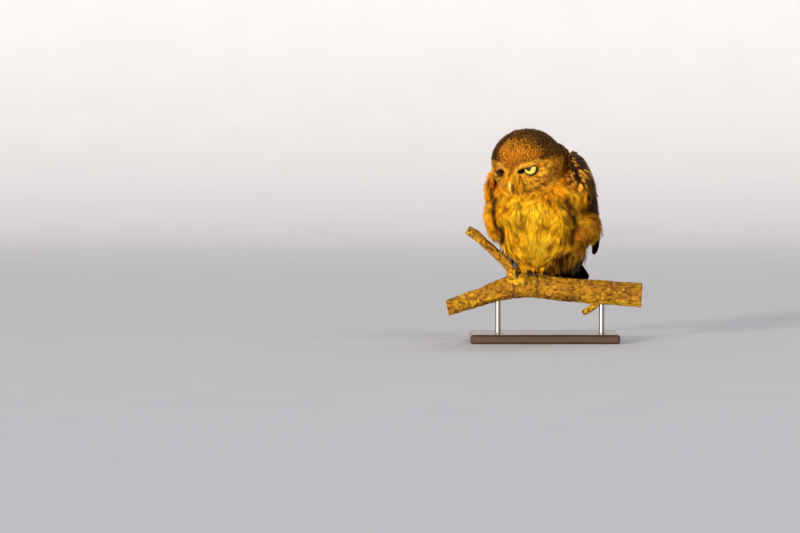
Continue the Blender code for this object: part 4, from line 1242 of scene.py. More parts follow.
@dataclass
class Coat:
    """One area of the body plumage, grown from the skin."""

    name: str
    tuft: Tuft
    seed: int
    lie: Callable  # direction of the feathers by place and normal
    limit: int = 190000  # triangles in one piece

    def __post_init__(self) -> None:
        """Seed the random source."""
        self.rng = np.random.default_rng(self.seed)

    def grow(self, surface: Surface, mask: Array, plan: SkinMap) -> list:
        """Root the tufts where the mask says and build them.

        Args:
            surface: The skin.
            mask: True for each face that carries this coat.
            plan: The unwrap of the skin.

        Returns:
            The new objects, each under the limit of triangles.
        """
        spacing = np.where(mask, self.tuft.spacing * MM, 0)
        roots, normals = surface.scatter(spacing, self.rng)
        spine, ups = self.spines(surface, roots, normals)
        shape = self.plumes if self.tuft.form is Form.PLUME else self.bristles
        owner, along, across, wide, rise = shape(len(roots))
        blades = self.follow(spine, ups, owner, along, wide, rise)
        tints = self.tints(blades.rings, owner, across[..., None], along[..., None])
        return self.pieces(blades, tints, plan.at(roots)[owner])

    def spines(self, surface: Surface, roots: Array, normals: Array) -> tuple[Array, Array]:
        """Walk each tuft's middle line along the skin, down the lie of the coat.

        Args:
            surface: The skin.
            roots: Places of the roots.
            normals: Outward directions there.

        Returns:
            Middle lines and outward directions, each as (tufts, rows, 3).
        """
        tuft, count = self.tuft, len(roots)
        locks = value_noise(roots / MM, 2.2 * tuft.spacing + 2, self.seed)
        length = tuft.length * MM * self.rng.normal(1, 0.12, count).clip(0.6, 1.4)
        length = length * (1 + 0.15 * locks)
        raised = ramp(8, 32, POSE.local(roots, "body")[:, 2])
        length = length * (tuft.low + (1 - tuft.low) * raised)
        turn = self.rng.normal(0, tuft.wander, count) + tuft.clump * 1.6 * locks
        places, ups = [roots], [normals]
        for _ in range(tuft.rows):
            way = self.lie(places[-1], ups[-1])
            side = np.cross(ups[-1], way)
            way = way * np.cos(turn)[:, None] + side * np.sin(turn)[:, None]
            ahead = places[-1] + way * (length / tuft.rows)[:, None]
            place, normal = surface.nearest(ahead)
            places.append(ahead + (place - ahead) * tuft.hug)
            ups.append(unit(ups[-1] * 0.4 + normal * 0.6))
        spine, ups = np.stack(places, axis=1), np.stack(ups, axis=1)
        along = np.linspace(0, 1, tuft.rows + 1)
        rise = -tuft.sink + (tuft.lift + tuft.sink) * along ** 0.9 + tuft.curl * along ** 3
        high = value_noise(roots / MM, 3 * tuft.spacing + 2, self.seed + 1)
        vary = self.rng.normal(1, 0.15, count).clip(0.5, 1.5) * (1 + 0.25 * high)
        return spine + ups * (rise[None, :] * vary[:, None] * MM)[..., None], ups

    def follow(self, spine: Array, ups: Array, owner: Array, along: Array, across: Array,
               rise: Array) -> Blades:
        """Lay barbs beside their tuft's middle line.

        Args:
            spine: Middle lines of the tufts.
            ups: Outward directions along them.
            owner: The tuft of each barb.
            along: Share of the tuft's length at each of a barb's rows.
            across: Way off the middle line there, in millimetres.
            rise: Way up there, in millimetres.

        Returns:
            The blades.
        """
        where = np.clip(along, 0, 1) * self.tuft.rows
        low = np.minimum(where.astype(int), self.tuft.rows - 1)
        part = (where - low)[..., None]
        rows = owner[:, None]
        line = spine[rows, low] * (1 - part) + spine[rows, low + 1] * part
        up = unit(ups[rows, low] * (1 - part) + ups[rows, low + 1] * part)
        side = unit(np.cross(np.gradient(line, axis=1), up))
        line = line + side * (across * MM)[..., None] + up * (rise * MM)[..., None]
        share = np.linspace(0, 1, along.shape[1])
        taper = (0.7 + 0.3 * np.minimum(1, share / 0.3)) * (1 - 0.86 * share ** 2.4)
        half = self.tuft.barb_width * MM / 2 * taper[None, :] \
            * self.rng.normal(1, 0.15, len(owner)).clip(0.6, 1.5)[:, None]
        return ribbon(line, up, half, 0.22 * MM, 0, 3, False)

    def plumes(self, count: int) -> tuple:
        """Barbs that leave a shaft on both sides and bend to a rounded, frayed end.

        Args:
            count: Number of the tufts.

        Returns:
            The tuft of each barb, and at each of its rows the share of the tuft's length, the
            place across from -1 to 1, and the way off the middle line and up, in millimetres.
        """
        tuft = self.tuft
        pairs = tuft.barbs // 2
        rank = np.concatenate([np.repeat((np.arange(pairs) + 0.3) / pairs, 2), [1]])
        side = np.concatenate([np.tile([-1, 1], pairs), [0]])
        owner = np.repeat(np.arange(count), len(rank))
        rank, side = np.tile(rank, count), np.tile(side, count)
        start = 0.04 + 0.46 * rank
        end = (0.56 + 0.44 * rank ** 0.8) * self.rng.normal(1, 0.06, len(owner))
        end = end.clip(0.3, 1)
        share = np.linspace(0, 1, tuft.rows + 1)
        along = start[:, None] + (end - start)[:, None] * share
        reach = np.sqrt(np.clip(1 - ((end - 0.52) / 0.50) ** 2, 0.02, 1))
        reach = side * reach + self.rng.normal(0, 0.10, len(owner))
        across = reach[:, None] * share[None, :] ** 0.62
        rise = self.rng.normal(0, 0.25, len(owner))[:, None] * share[None, :] ** 1.5
        rise = rise - 0.16 * tuft.width / 2 * across ** 2
        return owner, along, across, across * tuft.width / 2, rise

    def bristles(self, count: int) -> tuple:
        """A few fine barbs for each tuft, spread towards their tips; as the plumes."""
        tuft = self.tuft
        owner = np.repeat(np.arange(count), tuft.barbs)
        place = np.tile(np.linspace(-1, 1, tuft.barbs), count)
        place = place + self.rng.normal(0, 0.2, len(owner))
        reach = (1 - 0.2 * place ** 2) * self.rng.normal(1, 0.1, len(owner)).clip(0.6, 1)
        share = np.linspace(0, 1, tuft.rows + 1)
        along = share[None, :] * reach[:, None]
        across = place[:, None] * share[None, :] ** 0.8
        wave = self.rng.normal(0, 0.2, len(owner))[:, None] * share[None, :] ** 2
        rise = self.rng.normal(0, 0.2, len(owner))[:, None] * share[None, :] ** 1.5
        return owner, along, across, across * tuft.width / 2 + wave, rise

    def tints(self, rings: Array, owner: Array, across: Array, along: Array) -> Array:
        """Colours of all corners: the coat's markings, with painted shade at the root and painted
        light at the tip, varied from tuft to tuft.

        Args:
            rings: The blades' corners.
            owner: The tuft of each blade.
            across: Place of corners or rows across their feather, -1 to 1.
            along: Place along it, 0 to 1.

        Returns:
            Linear colours, as the rings.
        """
        tuft = self.tuft
        count = int(owner.max()) + 1
        colour = PLUMAGE.colour(rings.mean(axis=2))[:, :, None, :]
        vary = 1 + tuft.contrast * self.rng.normal(0, 1, count)[owner]
        single = 1 + 0.09 * self.rng.normal(0, 1, len(owner))
        # painted shade towards the root and painted light at the tip
        shade = tuft.root_shade + (1 - tuft.root_shade) * np.minimum(1, along / 0.75)
        shade = shade * (1 + 0.2 * ramp(0.75, 1, along))
        factor = (vary * single).clip(0.45, 1.7)[:, None, None] * shade
        colour = colour * factor[..., None]
        power = tuft.strength * self.rng.uniform(0.4, 1, count)[owner][:, None, None]
        power = np.minimum(1, power)
        if tuft.mark is Mark.STREAK:
            share = bell(across, 0.38) * ramp(0.3, 0.6, along) * power
            colour = blend(colour, PLUMAGE.streak_and_fold_shade, np.broadcast_to(share, colour.shape[:-1]))
        elif tuft.mark is Mark.SPOT:
            edge = np.maximum(ramp(0.55, 0.95, np.abs(across)), ramp(0.86, 0.97, along))
            size = tuft.spot_size
            spot = np.hypot(across / (0.62 * size), (along - 0.74) / (0.17 * size ** 2))
            # no pale spots on the raised wing's edge, which is painted in shade
            plain = PLUMAGE.strip(rings.mean(axis=2) / MM)[:, :, None]
            spot = ramp(1.1, 0.7, spot) * power * (1 - 0.85 * plain)
            light = colour.sum(axis=-1) / factor
            spot = spot * (tuft.dim + (1 - tuft.dim) * ramp(0.06, 0.3, light))
            colour = blend(colour, PLUMAGE.crown, np.broadcast_to(edge * power, colour.shape[:-1]))
            colour = blend(colour, getattr(PLUMAGE, tuft.spot),
                           np.broadcast_to(spot, colour.shape[:-1]))
        return np.broadcast_to(np.clip(colour, 0, 0.95), rings.shape)

    def pieces(self, blades: Blades, tints: Array, places: Array) -> list:
        """Build the blades in as many pieces as the limit asks for.

        Args:
            blades: All the blades of the coat.
            tints: Their colours.
            places: Their places in the bake map.

        Returns:
            The objects, each under the limit of faces.
        """
        rings = blades.rings
        triangles = (rings.shape[1] - 1) * rings.shape[2] * 2 + (rings.shape[2] - 2) * 2
        parts = math.ceil(len(rings) * triangles / self.limit)
        items = []
        for number, rows in enumerate(np.array_split(np.arange(len(rings)), parts)):
            name = self.name if parts == 1 else f"{self.name}_{number + 1}"
            part = Blades(rings[rows], blades.vane, blades.ups[rows])
            item = part.build(name, places[rows])
            paint(item.data, "tint", tints[rows].reshape(-1, 3))
            items.append(item)
        return items


# ---- wings and tail ----

@dataclass(frozen=True)
class Tier:
    """One row of a wing's feathers: first values at the lower edge, second at the upper."""

    count: int
    root_u: tuple
    root_v: tuple
    tip_u: tuple
    tip_v: tuple
    width: float
    lift: float
    bars: float  # pale bars or spots along the feather
    spot: float  # strength of the pale marks


@dataclass(frozen=True)
class WingSheet:
    """The curved sheet that a folded wing's feathers lie on."""

    side: int  # 1 is the bird's left, -1 its right
    path: tuple  # a curve from the wrist to the tip
    front_v: tuple  # where the body's feathers stop, across the wing
    front_u: tuple = (0, 0.1, 0.2, 0.35, 0.6)  # and the places along it for these
    axis_y: float = 12
    tilt: float = 10
    bend: float = 0.0095  # 1/mm
    upper_v: float = 29  # where the back's feathers begin, across the wing
    reach: float = 4.5  # how far off the skin the sheet still covers it
    core_middle: tuple = (0.35, 14)
    core_radii: tuple = (0.37, 31)
    core_depth: tuple = (1.6, 6.5)  # outwards and inwards
    core_swell: float = 0.25  # of the inner side, towards the back

    def at(self, u: Array, v: Array) -> tuple[Array, Array, Array]:
        """Find places on the sheet.

        Args:
            u: Place along the wing, 0 at the wrist and 1 at the tip.
            v: Place across it, in millimetres, towards the back.

        Returns:
            World place, direction along the wing and outward direction.
        """
        a, b, c, d = np.array(self.path, dtype=float)
        u, w = u[..., None], 1 - u[..., None]
        point = a * w ** 3 + b * 3 * w * w * u + c * 3 * w * u * u + d * u ** 3
        along = unit((b - a) * 3 * w * w + (c - b) * 6 * w * u + (d - c) * 3 * u * u)
        out = np.stack([point[..., 0], point[..., 1] - self.axis_y,
                        np.full(point.shape[:-1], self.tilt)], axis=-1)
        out = unit(out - along * np.sum(out * along, axis=-1, keepdims=True))
        across = np.cross(out, along)
        bent = self.bend * v[..., None]
        point = point + across * v[..., None] - out * bent * v[..., None]
        across = unit(across - out * 2 * bent)
        out = unit(np.cross(along, across))
        flip = np.array([self.side, 1, 1])
        return (POSE.world(point * flip, "body"), POSE.turn(along * flip, "body"),
                POSE.turn(out * flip, "body"))

    def covers(self, points: Array) -> Array:
        """Whether the wing's own feathers lie over places on the skin.

        Args:
            points: World places.

        Returns:
            True where the wing covers the skin.
        """
        u, v = np.meshgrid(np.linspace(0.03, 1, 60), np.linspace(-16, 40, 40), indexing="ij")
        sheet = self.at(u, v)[0].reshape(-1, 3)
        tree = KDTree(len(sheet))
        for number, place in enumerate(sheet.tolist()):
            tree.insert(place, number)
        tree.balance()
        hits = [tree.find(point) for point in points.tolist()]
        u, v = u.ravel()[[hit[1] for hit in hits]], v.ravel()[[hit[1] for hit in hits]]
        near = np.array([hit[2] for hit in hits]) < self.reach * MM
        return near & (v > np.interp(u, self.front_u, self.front_v)) & (v < self.upper_v)

    def core(self, name: str) -> Object:
        """A lens of flesh and bone inside the feathers.

        Args:
            name: Name of the object.

        Returns:
            The new object.
        """
        mesh = unit_ball(name, 40, 24)
        ball = read_points(mesh, "co")
        across = self.core_middle[1] + self.core_radii[1] * ball[:, 0]
        point, _, out = self.at(self.core_middle[0] + self.core_radii[0] * ball[:, 2], across)
        inner = self.core_depth[1] + self.core_swell * np.maximum(0, across)
        depth = np.where(ball[:, 1] > 0, self.core_depth[0], inner) * MM
        write_points(mesh, point + out * (ball[:, 1] * depth)[:, None])
        if self.side < 0:
            mesh.flip_normals()
        return new_object(name, mesh)


LEFT_SHEET = WingSheet(1, ((50, -22, 96), (60, 8, 98), (58, 42, 64), (33.5, 73, 20)),
                       (15, 13, -2, -12, -15))
RIGHT_SHEET = WingSheet(-1, ((51, -22, 93), (61, 8, 96), (58, 42, 62), (36, 74, 18)),
                        (24, 20, 10, -3, -10))


@dataclass
class Quills:
    """Firm feathers with a shaft, as they are in the wings and the tail."""

    name: str
    seed: int
    rows: int = 14
    columns: int = 7
    round_from: float = 0.72  # where the rounding of the tip begins
    thick: float = 0.45
    camber: float = 0.1
    dark: str = "#1e1206"
    brown: str = "#452a0f"
    pale: str = "#dda045"
    patch: float = 0.065  # one feather's share of the bake map, free of the others
    grid: int = 12  # feathers in one row of that map

    def __post_init__(self) -> None:
        """Seed the random source."""
        self.rng = np.random.default_rng(self.seed)

    def shape(self, spine: Array, up: Array, width: Array) -> Blades:
        """Rounded vanes, a little narrower towards the root.

        Args:
            spine: Shafts, as (feathers, rows, 3).
            up: Outward directions, as the shafts.
            width: Width of each feather, in millimetres.

        Returns:
            The blades.
        """
        along = np.linspace(0, 1, self.rows + 1)
        tip = np.clip((along - self.round_from) / (1 - self.round_from), 0, 1)
        outline = (0.5 + 0.5 * np.minimum(1, along / 0.35)) * np.sqrt(1 - 0.96 * tip ** 2)
        ragged = self.rng.normal(1, 0.04, (len(width), self.rows + 1))
        half = width[:, None] * MM / 2 * outline[None, :] * ragged
        blades = ribbon(spine, up, half, self.thick * MM, self.camber, self.columns, True)
        blades.patch = self.patch
        return blades

    def piece(self, blades: Blades, marks: Array, finish: Finish) -> Object:
        """Make the feathers one object that stands for its node.

        Args:
            blades: The feathers.
            marks: Pale bars of each feather, and their strength.
            finish: What they are made of.

        Returns:
            The new object.
        """
        number = np.arange(len(blades.rings))
        bake = np.stack([number % self.grid, number // self.grid], 1)
        item = blades.build(f"feathers_{self.name}", 0.05 + 0.9 * bake / self.grid)
        self.colour(item, blades, marks)
        place_piece(item, finish, [self.name])
        return item

    def colour(self, item: Object, blades: Blades, marks: Array) -> None:
        """Dark vanes with pale bars and spots.

        Args:
            item: The object.
            blades: Its feathers.
            marks: Pale bars of each feather, and their strength.
        """
        rings = blades.rings
        dark, brown, pale = map(linear, (self.dark, self.brown, self.pale))
        across = blades.vane[..., 0] * 2 - 1
        along = blades.vane[..., 1]
        bars, strength = marks[:, 0, None, None], marks[:, 1, None, None]
        base = blend(dark, brown, np.clip(0.5 + 0.5 * value_noise(rings / MM, 6, 31), 0, 1))
        edge = ramp(0.75, 1, np.abs(across)) * ramp(0.5, 0.9, along)
        base = blend(base, pale, np.broadcast_to(edge * 0.22, base.shape[:-1]))
        wave = np.sin((along * (bars + 0.5)) * 2 * math.pi - 0.6)
        barred = ramp(0.35, 0.8, wave) * ramp(0.55, 0.25, np.abs(np.abs(across) - 0.6))
        round_spot = ramp(1, 0.6, np.hypot(across / 0.58, (along - 0.78) / 0.15))
        pattern = np.where(bars > 1.5, barred, round_spot) * strength
        # painted shade: the vanes darker and without pale marks along the raised wing's edge
        strip = PLUMAGE.strip(rings / MM)
        base = base * (1 - 0.75 * strip[..., None])
        pattern = pattern * ramp(0.12, 0.25, along) * (1 - 0.85 * strip)
        paint(item.data, "tint", base.reshape(-1, 3))
        rows = np.empty((*pattern.shape, 4))
        rows[..., :3] = pale
        rows[..., 3] = pattern
        paint(item.data, "mark", rows.reshape(-1, 4))


@dataclass
class Wing(Quills):
    """One folded wing, feather by feather."""

    sheet: WingSheet = LEFT_SHEET
    twist: float = math.radians(12)
    tiers: tuple[Tier, ...] = (
        Tier(9, (0.50, 0.44), (-12, 8), (1.00, 0.86), (-7, 9), 9, 0, 6, 0.6),
        Tier(11, (0.42, 0.34), (-9, 25), (0.85, 0.66), (-8, 22), 9.5, 0.5, 5, 0.55),
        Tier(11, (0.30, 0.26), (-12, 25), (0.58, 0.50), (-12, 25), 9.5, 1.3, 2, 0.5),
        Tier(11, (0.22, 0.18), (-8, 25), (0.45, 0.40), (-9, 25), 9.5, 2, 1, 0.5),
        Tier(10, (0.15, 0.11), (-3, 24), (0.35, 0.31), (-5, 25), 8.5, 2.4, 1, 0.4),
        Tier(8, (0.09, 0.06), (0, 20), (0.27, 0.24), (-1, 20), 8, 2, 1, 0.5),
        Tier(4, (0.31, 0.28), (20, 34), (0.58, 0.50), (22, 33), 11, 2.8, 1, 1),
        Tier(5, (0.22, 0.19), (19, 34), (0.46, 0.41), (21, 33), 10.5, 3.4, 1, 1),
        Tier(6, (0.13, 0.11), (15, 33), (0.34, 0.30), (18, 33), 8.5, 3.8, 1, 1),
        Tier(5, (0.07, 0.06), (15, 31), (0.25, 0.22), (18, 32), 8, 3.4, 1, 1),
    )

    def build(self, finish: Finish) -> Object:
        """Make all tiers as one piece.

        Args:
            finish: Finish of the feathers.

        Returns:
            The new piece.
        """
        lines = [self.tier_lines(tier) for tier in self.tiers]
        spine, up = (np.concatenate(rows) for rows in zip(*lines))
        table = np.concatenate([np.tile([tier.width, tier.bars, tier.spot], (tier.count, 1))
                                for tier in self.tiers])
        return self.piece(self.shape(spine, up, table[:, 0]), table[:, 1:], finish)

    def tier_lines(self, tier: Tier) -> tuple[Array, Array]:
        """Spines and outward directions of one tier.

        Args:
            tier: Sizes and count of the tier's feathers.

        Returns:
            Both as (feathers, rows, 3).
        """
        share = np.linspace(0, 1, tier.count)
        share = share + self.rng.normal(0, 0.012, tier.count)
        along = np.linspace(0, 1, self.rows + 1)
        ends = [np.interp(share, [0, 1], pair) for pair in
                (tier.root_u, tier.tip_u, tier.root_v, tier.tip_v)]
        ends[1] = ends[1] + self.rng.normal(0, 0.008, tier.count)
        u = ends[0][:, None] + (ends[1] - ends[0])[:, None] * along
        v = ends[2][:, None] + (ends[3] - ends[2])[:, None] * along
        point, way, out = self.sheet.at(u, v)
        rise = np.interp(along, [0, 0.3, 1], [-0.8, 0.6, 2.2]) + tier.lift * 0.55
        point = point + out * (rise * MM)[None, :, None]
        side = np.cross(way, out) * self.sheet.side
        return point, out * math.cos(self.twist) - side * math.sin(self.twist)


@dataclass
class Tail(Quills):
    """The folded tail: twelve feathers, and the coverts over and under them."""

    root: tuple = (1, 46, 43)
    tip: tuple = (10, 88, -15)
    half_count: int = 6
    fan: float = math.radians(2.3)
    spacing: float = 1.6
    width: float = 11.5
    height: float = -0.8
    drop: float = 0.66  # from each feather to the one under it
    shortening: float = 0.02  # from each feather to the next one outwards
    # rows of coverts: count, spacing, length, width, height over the tail
    coverts: tuple = ((7, 2.8, 32, 8.5, 1.6), (6, 3.2, 24, 8.5, 2.6), (7, 2.8, 36, 8, -9.4))
    round_from: float = 0.86
    dark: str = "#1a1109"
    brown: str = "#2e1d0e"
    pale: str = "#8a6030"
    patch: float = 0.12
    grid: int = 6

    def build(self, finish: Finish) -> Object:
        """Make the tail as one piece.

        Args:
            finish: Finish of the feathers.

        Returns:
            The new piece.
        """
        rows = []
        full = float(np.linalg.norm(np.subtract(self.tip, self.root)))
        for rank in range(2 * self.half_count):
            step = (rank // 2 + 0.5) * (1 if rank % 2 else -1)
            rows.append((step * self.fan, step * self.spacing,
                         full * (1 - self.shortening * (rank // 2)),
                         self.height - rank * self.drop, self.width, 5, 0.8))
        for count, gap, length, width, height in self.coverts:
            for number in range(count):
                step = number - (count - 1) / 2
                rows.append((step * self.fan * 1.5, step * gap, length,
                             height + (0.3 if number % 2 else -0.3), width, 1, 0.35))
        table = np.array(rows)
        return self.piece(self.shape(*self.lines(table), table[:, 4]), table[:, 5:], finish)

    def lines(self, table: Array) -> tuple[Array, Array]:
        """Spines and outward directions of all feathers.

        Args:
            table: A row for each feather: angle, place across, length and height of its root.

        Returns:
            World places and directions, each as (feathers, rows, 3).
        """
        way = unit(np.subtract(self.tip, self.root))
        right = np.array([1, 0, 0])
        right = unit(right - way * (right @ way))
        up = np.cross(right, way)
        up = -up if up[2] < 0 else up
        along = np.linspace(0, 1, self.rows + 1)
        angle, root, length, height = (table[:, k, None, None] for k in range(4))
        line = way * np.cos(angle) + right * np.sin(angle)
        point = self.root + right * root + up * height + line * length * along[None, :, None]
        ups = np.broadcast_to(up, point.shape)
        return POSE.world(point, "body"), POSE.turn(ups, "body")


# ---- skin ----

@dataclass
class Skin:
    """One skin under the whole coat."""

    wings: list[Wing]  # their cores are part of the skin
    flesh: tuple = ("torso", "head", "eye_left", "eye_right", "leg_left", "leg_right")
    feet: tuple = ("foot_left", "foot_right")
    voxel: float = 1.5
    fine_voxel: float = 1
    kept_faces: float = 0.4
    shade: float = 0.45  # share of the coat's colour on the skin: painted shade among the feathers, and the darker down

    def build(self) -> Object:
        """Melt the flesh, draw it in by the coat's depth and add feet and wing cores.

        Returns:
            The skin with its colours, still without a material.
        """
        body = melted(copy_nodes("skin_owl", self.flesh), self.voxel, 3)
        points = read_points(body.data, "co")
        normals = read_points(body.data, "normal")
        write_points(body.data, points - normals * (self.depth(points) * MM)[:, None])
        extra = [copy_nodes("feet", self.feet)]
        extra += [wing.sheet.core("core") for wing in self.wings]
        bm = bmesh.new()
        for item in [body, *extra]:
            bm.from_mesh(item.data)
        bm.to_mesh(body.data)
        bm.free()
        for item in extra:
            bpy.data.objects.remove(item)
        body = melted(body, self.fine_voxel, 2)
        body.modifiers.new("light", "DECIMATE").ratio = self.kept_faces
        body = modified(body)
        body.data.shade_smooth()
        # the skin takes the coat's colour darkened as painted shade among the feathers
        paint(body.data, "tint", PLUMAGE.colour(read_points(body.data, "co")) * self.shade)
        return body

    def depth(self, points: Array) -> Array:
        """Depth of the coat over the skin, in millimetres.

        Args:
            points: World places.

        Returns:
            One depth for each place.
        """
        world = points / MM
        body = POSE.local(points, "body")
        head = POSE.local(points, "head")
        front = ramp(14, -6, body[:, 1])
        depth = 3.2 + 1.8 * front
        depth = depth + 3 * PLUMAGE.gap_share(world) - PLUMAGE.lobes(world)
        depth = np.clip(depth, 1, 9)
        depth = depth + 6 * ramp(44, 26, body[:, 2]) * ramp(40, 56, body[:, 0])
        on_face = ramp(27, 18, eye_distance(head))
        depth = depth + (2.4 - 0.6 * on_face - depth) * head_share(points)
        low = ramp(88, 80, world[:, 2])
        return depth + (0.8 - depth) * low


# ---- eyes, bill, claws ----

@dataclass
class Eye:
    """One eye with its lids."""

    name: str  # the bird's side
    brow_drop: float  # height of the upper lid's edge over the line of sight
    rim: float  # width of the bare black rim
    slope: float  # fall of the upper lid towards the bill, in degrees
    lid_radius: float = 7.6
    outer_radius: float = 9
    seat_radius: float = 9.2  # of the ball that the lids lie on
    low_lid: float = -0.97  # where the lower lid is level, in radii
    cornea_rise: float = 0.7
    cornea_reach: float = math.radians(52)
    lift: float = math.radians(19)  # of the line of sight over the head's own direction
    brow_bend: float = 0.035  # 1/mm, towards the bill
    steps: int = 84
    # section of the lids: share of the way outwards, height over the eyeball
    profile: tuple = ((-0.03, -0.5), (-0.01, 0.1), (0.03, 0.5), (0.09, 0.72), (0.18, 0.8),
                      (0.32, 0.8), (0.55, 0.75), (0.8, 0.5), (1, 0.1), (0.8, -1.2), (0.3, -1.2))

    def __post_init__(self) -> None:
        """Work out the eye's place and line of sight."""
        self.side = 1 if self.name == "left" else -1
        self.centre = POSE.world(EYE_CENTRE * np.array([self.side, 1, 1]), "head")
        sight = np.array([math.sin(EYE_TURN) * self.side, -math.cos(EYE_TURN), 0])
        sight = sight * math.cos(self.lift) + np.array([0, 0, math.sin(self.lift)])
        outward = np.array([math.cos(EYE_TURN) * self.side, math.sin(EYE_TURN), 0])
        upward = np.cross(sight, outward) * self.side
        self.axes = POSE.turn(np.stack([outward, upward, sight]), "head")

    def reach(self, angle: Array) -> Array:
        """Distance of the eye's surface from its middle, by the angle off the line of sight."""
        share = np.minimum(1, angle / self.cornea_reach)
        return EYE_RADIUS + self.cornea_rise * np.cos(share * math.pi / 2)

    def ball(self, finish: Finish) -> Object:
        """The eyeball with its cornea.

        Args:
            finish: Finish of the eye.

        Returns:
            The new piece.
        """
        mesh = unit_ball(f"eyeball_{self.name}", 72, 56)
        ball = read_points(mesh, "co")
        radius = self.reach(np.arccos(np.clip(ball[:, 2], -1, 1))) * MM
        write_points(mesh, self.centre + (ball * radius[:, None]) @ self.axes)
        if self.side < 0:
            mesh.flip_normals()
        layer = mesh.attributes.new("gaze", "FLOAT_VECTOR", "POINT")
        layer.data.foreach_set("vector", ball.ravel())
        mesh.shade_smooth()
        item = new_object(mesh.name, mesh)
        place_piece(item, finish, [f"eye_{self.name}"])
        return item

    def circle(self) -> Array:
        """Places round a circle of radius 1."""
        angle = np.linspace(0, 2 * math.pi, self.steps, endpoint=False)
        return np.stack([np.cos(angle), np.sin(angle)], axis=1)

    def outline(self) -> Array:
        """The opening between the lids, across and up, in millimetres."""
        rows = self.lid_radius * self.circle()
        inner = np.minimum(0, rows[:, 0] + 1)
        brow = self.brow_drop + rows[:, 0] * math.tan(math.radians(self.slope)) \
            - self.brow_bend * inner ** 2
        rows[:, 1] = np.maximum(np.minimum(rows[:, 1], brow), self.low_lid * self.lid_radius)
        for _ in range(2):
            rows = (np.roll(rows, 1, axis=0) + 2 * rows + np.roll(rows, -1, axis=0)) / 4
        return rows

    def lids(self, finish: Finish) -> Object:
        """A closed cap round the opening, with a black rim and feathered skin.

        Args:
            finish: Finish of the skin.

        Returns:
            The new piece.
        """
        inner, outer = self.outline(), self.outer_radius * self.circle()
        rings = []
        for share, height in self.profile:
            flat = inner + (outer - inner) * share
            off = np.linalg.norm(flat, axis=1)
            radius = self.reach(np.arcsin(np.minimum(1, off / self.seat_radius))) + height
            depth = np.sqrt(np.maximum(1, radius ** 2 - off ** 2))
            rings.append(np.concatenate([flat, depth[:, None]], axis=1))
        mesh = self.torus(self.centre + (np.stack(rings) * MM) @ self.axes)
        away = self.from_rim(read_points(mesh, "co"))
        # the lid's skin takes the coat's colour darkened as painted shade among its feathers; the
        # black rim is its own
        colour = blend(PLUMAGE.colour(read_points(mesh, "co")) * 0.6, PLUMAGE.dark * 0.5,
                       ramp(self.rim * 1.3, self.rim * 0.8, away))
        paint(mesh, "tint", colour)
        item = new_object(mesh.name, mesh)
        place_piece(item, finish)
        return item

    def from_rim(self, points: Array) -> Array:
        """Distance from the opening's edge, in millimetres, seen along the line of sight."""
        local = (points - self.centre) @ self.axes.T / MM
        edge = self.outline()
        return line_distance(local[:, :2], np.concatenate([edge, edge[:1]]))[0]

    def torus(self, places: Array) -> Mesh:
        """Close rings of places in both directions."""
        bm = bmesh.new()
        verts = [[bm.verts.new(place) for place in ring] for ring in places]
        for here, there in zip(verts, verts[1:] + verts[:1]):
            for n in range(len(here)):
                m = (n + 1) % len(here)
                bm.faces.new((here[n], here[m], there[m], there[n]))
        bmesh.ops.recalc_face_normals(bm, faces=bm.faces)
        mesh = freed(bm, f"eyelids_{self.name}")
        mesh.shade_smooth()
        return mesh


def fine_copy(node: str, name: str, voxel_mm: float, smoothing: int) -> Object:
    """A finer, rounder piece in the place of a node."""
    return melted(copy_nodes(name, [node]), voxel_mm, smoothing)


@dataclass
class Perch:
    """The cut branch with its bark."""

    bark: str = "#7c5210"
    bark_light: str = "#a97714"
    bark_dark: str = "#2a1a07"
    wood: str = "#c9a46a"
    lichen: str = "#c2981c"
    cracks: tuple = ((-33.5, 0.9), (-7, 0.8), (38, 0.5), (-62, 0.4))  # x and depth
    voxel: float = 0.8

    def build(self, finish: Finish) -> Object:
        """Round the facets off, raise the bark and colour it.

        Args:
            finish: Finish of the bark.

        Returns:
            The new piece.
        """
        item = fine_copy("perch", "branch", self.voxel, 8)
        points = read_points(item.data, "co")
        normals = read_points(item.data, "normal")
        world = points / MM
        stretched = world * np.array([0.45, 1, 1])
        rise = 0.55 * value_noise(stretched, 5, 41) + 0.3 * value_noise(world, 2.2, 42)
        crack = np.zeros(len(points))
        wander = 1.2 * value_noise(world, 6, 43)
        for place, depth in self.cracks:
            crack = np.maximum(crack, bell(world[:, 0] - place - wander, 0.8) * depth)
        crust = self.crust(world)
        end = ramp(0.8, 0.95, np.abs(normals[:, 0])) * ramp(98, 103, np.abs(world[:, 0]))
        rise = (rise - 0.9 * crack + 0.5 * crust) * (1 - end)
        write_points(item.data, points + normals * (rise * MM)[:, None])
        dark = linear(self.bark_dark)
        light = np.clip(0.5 + 0.7 * value_noise(stretched, 9, 44), 0, 1)
        mottle = np.clip(0.8 * value_noise(world, 3, 45) + 0.1, 0, 0.75)
        paint(item.data, "tint", layered(
            linear(self.bark), (linear(self.bark_light), light), (dark, mottle), (dark, crack),
            (linear(self.lichen), crust * 0.8), (linear(self.wood), end)))
        item.data.shade_smooth()
        place_piece(item, finish, ["perch"])
        return item

    def crust(self, world: Array) -> Array:
        """Where lichen grows, from 0 to 1."""
        near_feet = bell(world[:, 0] + 28, 13) * ramp(56, 64, world[:, 2])
        spur = ramp(48, 42, world[:, 2]) * ramp(30, 40, world[:, 0])
        left = bell(world[:, 0] + 80, 22) * 0.5
        patch = value_noise(world, 3.2, 46) + 0.5 * value_noise(world, 1.4, 47)
        return ramp(0.25, 0.6, patch + np.maximum(np.maximum(near_feet, spur), left) - 0.35)


# ---- studio ----

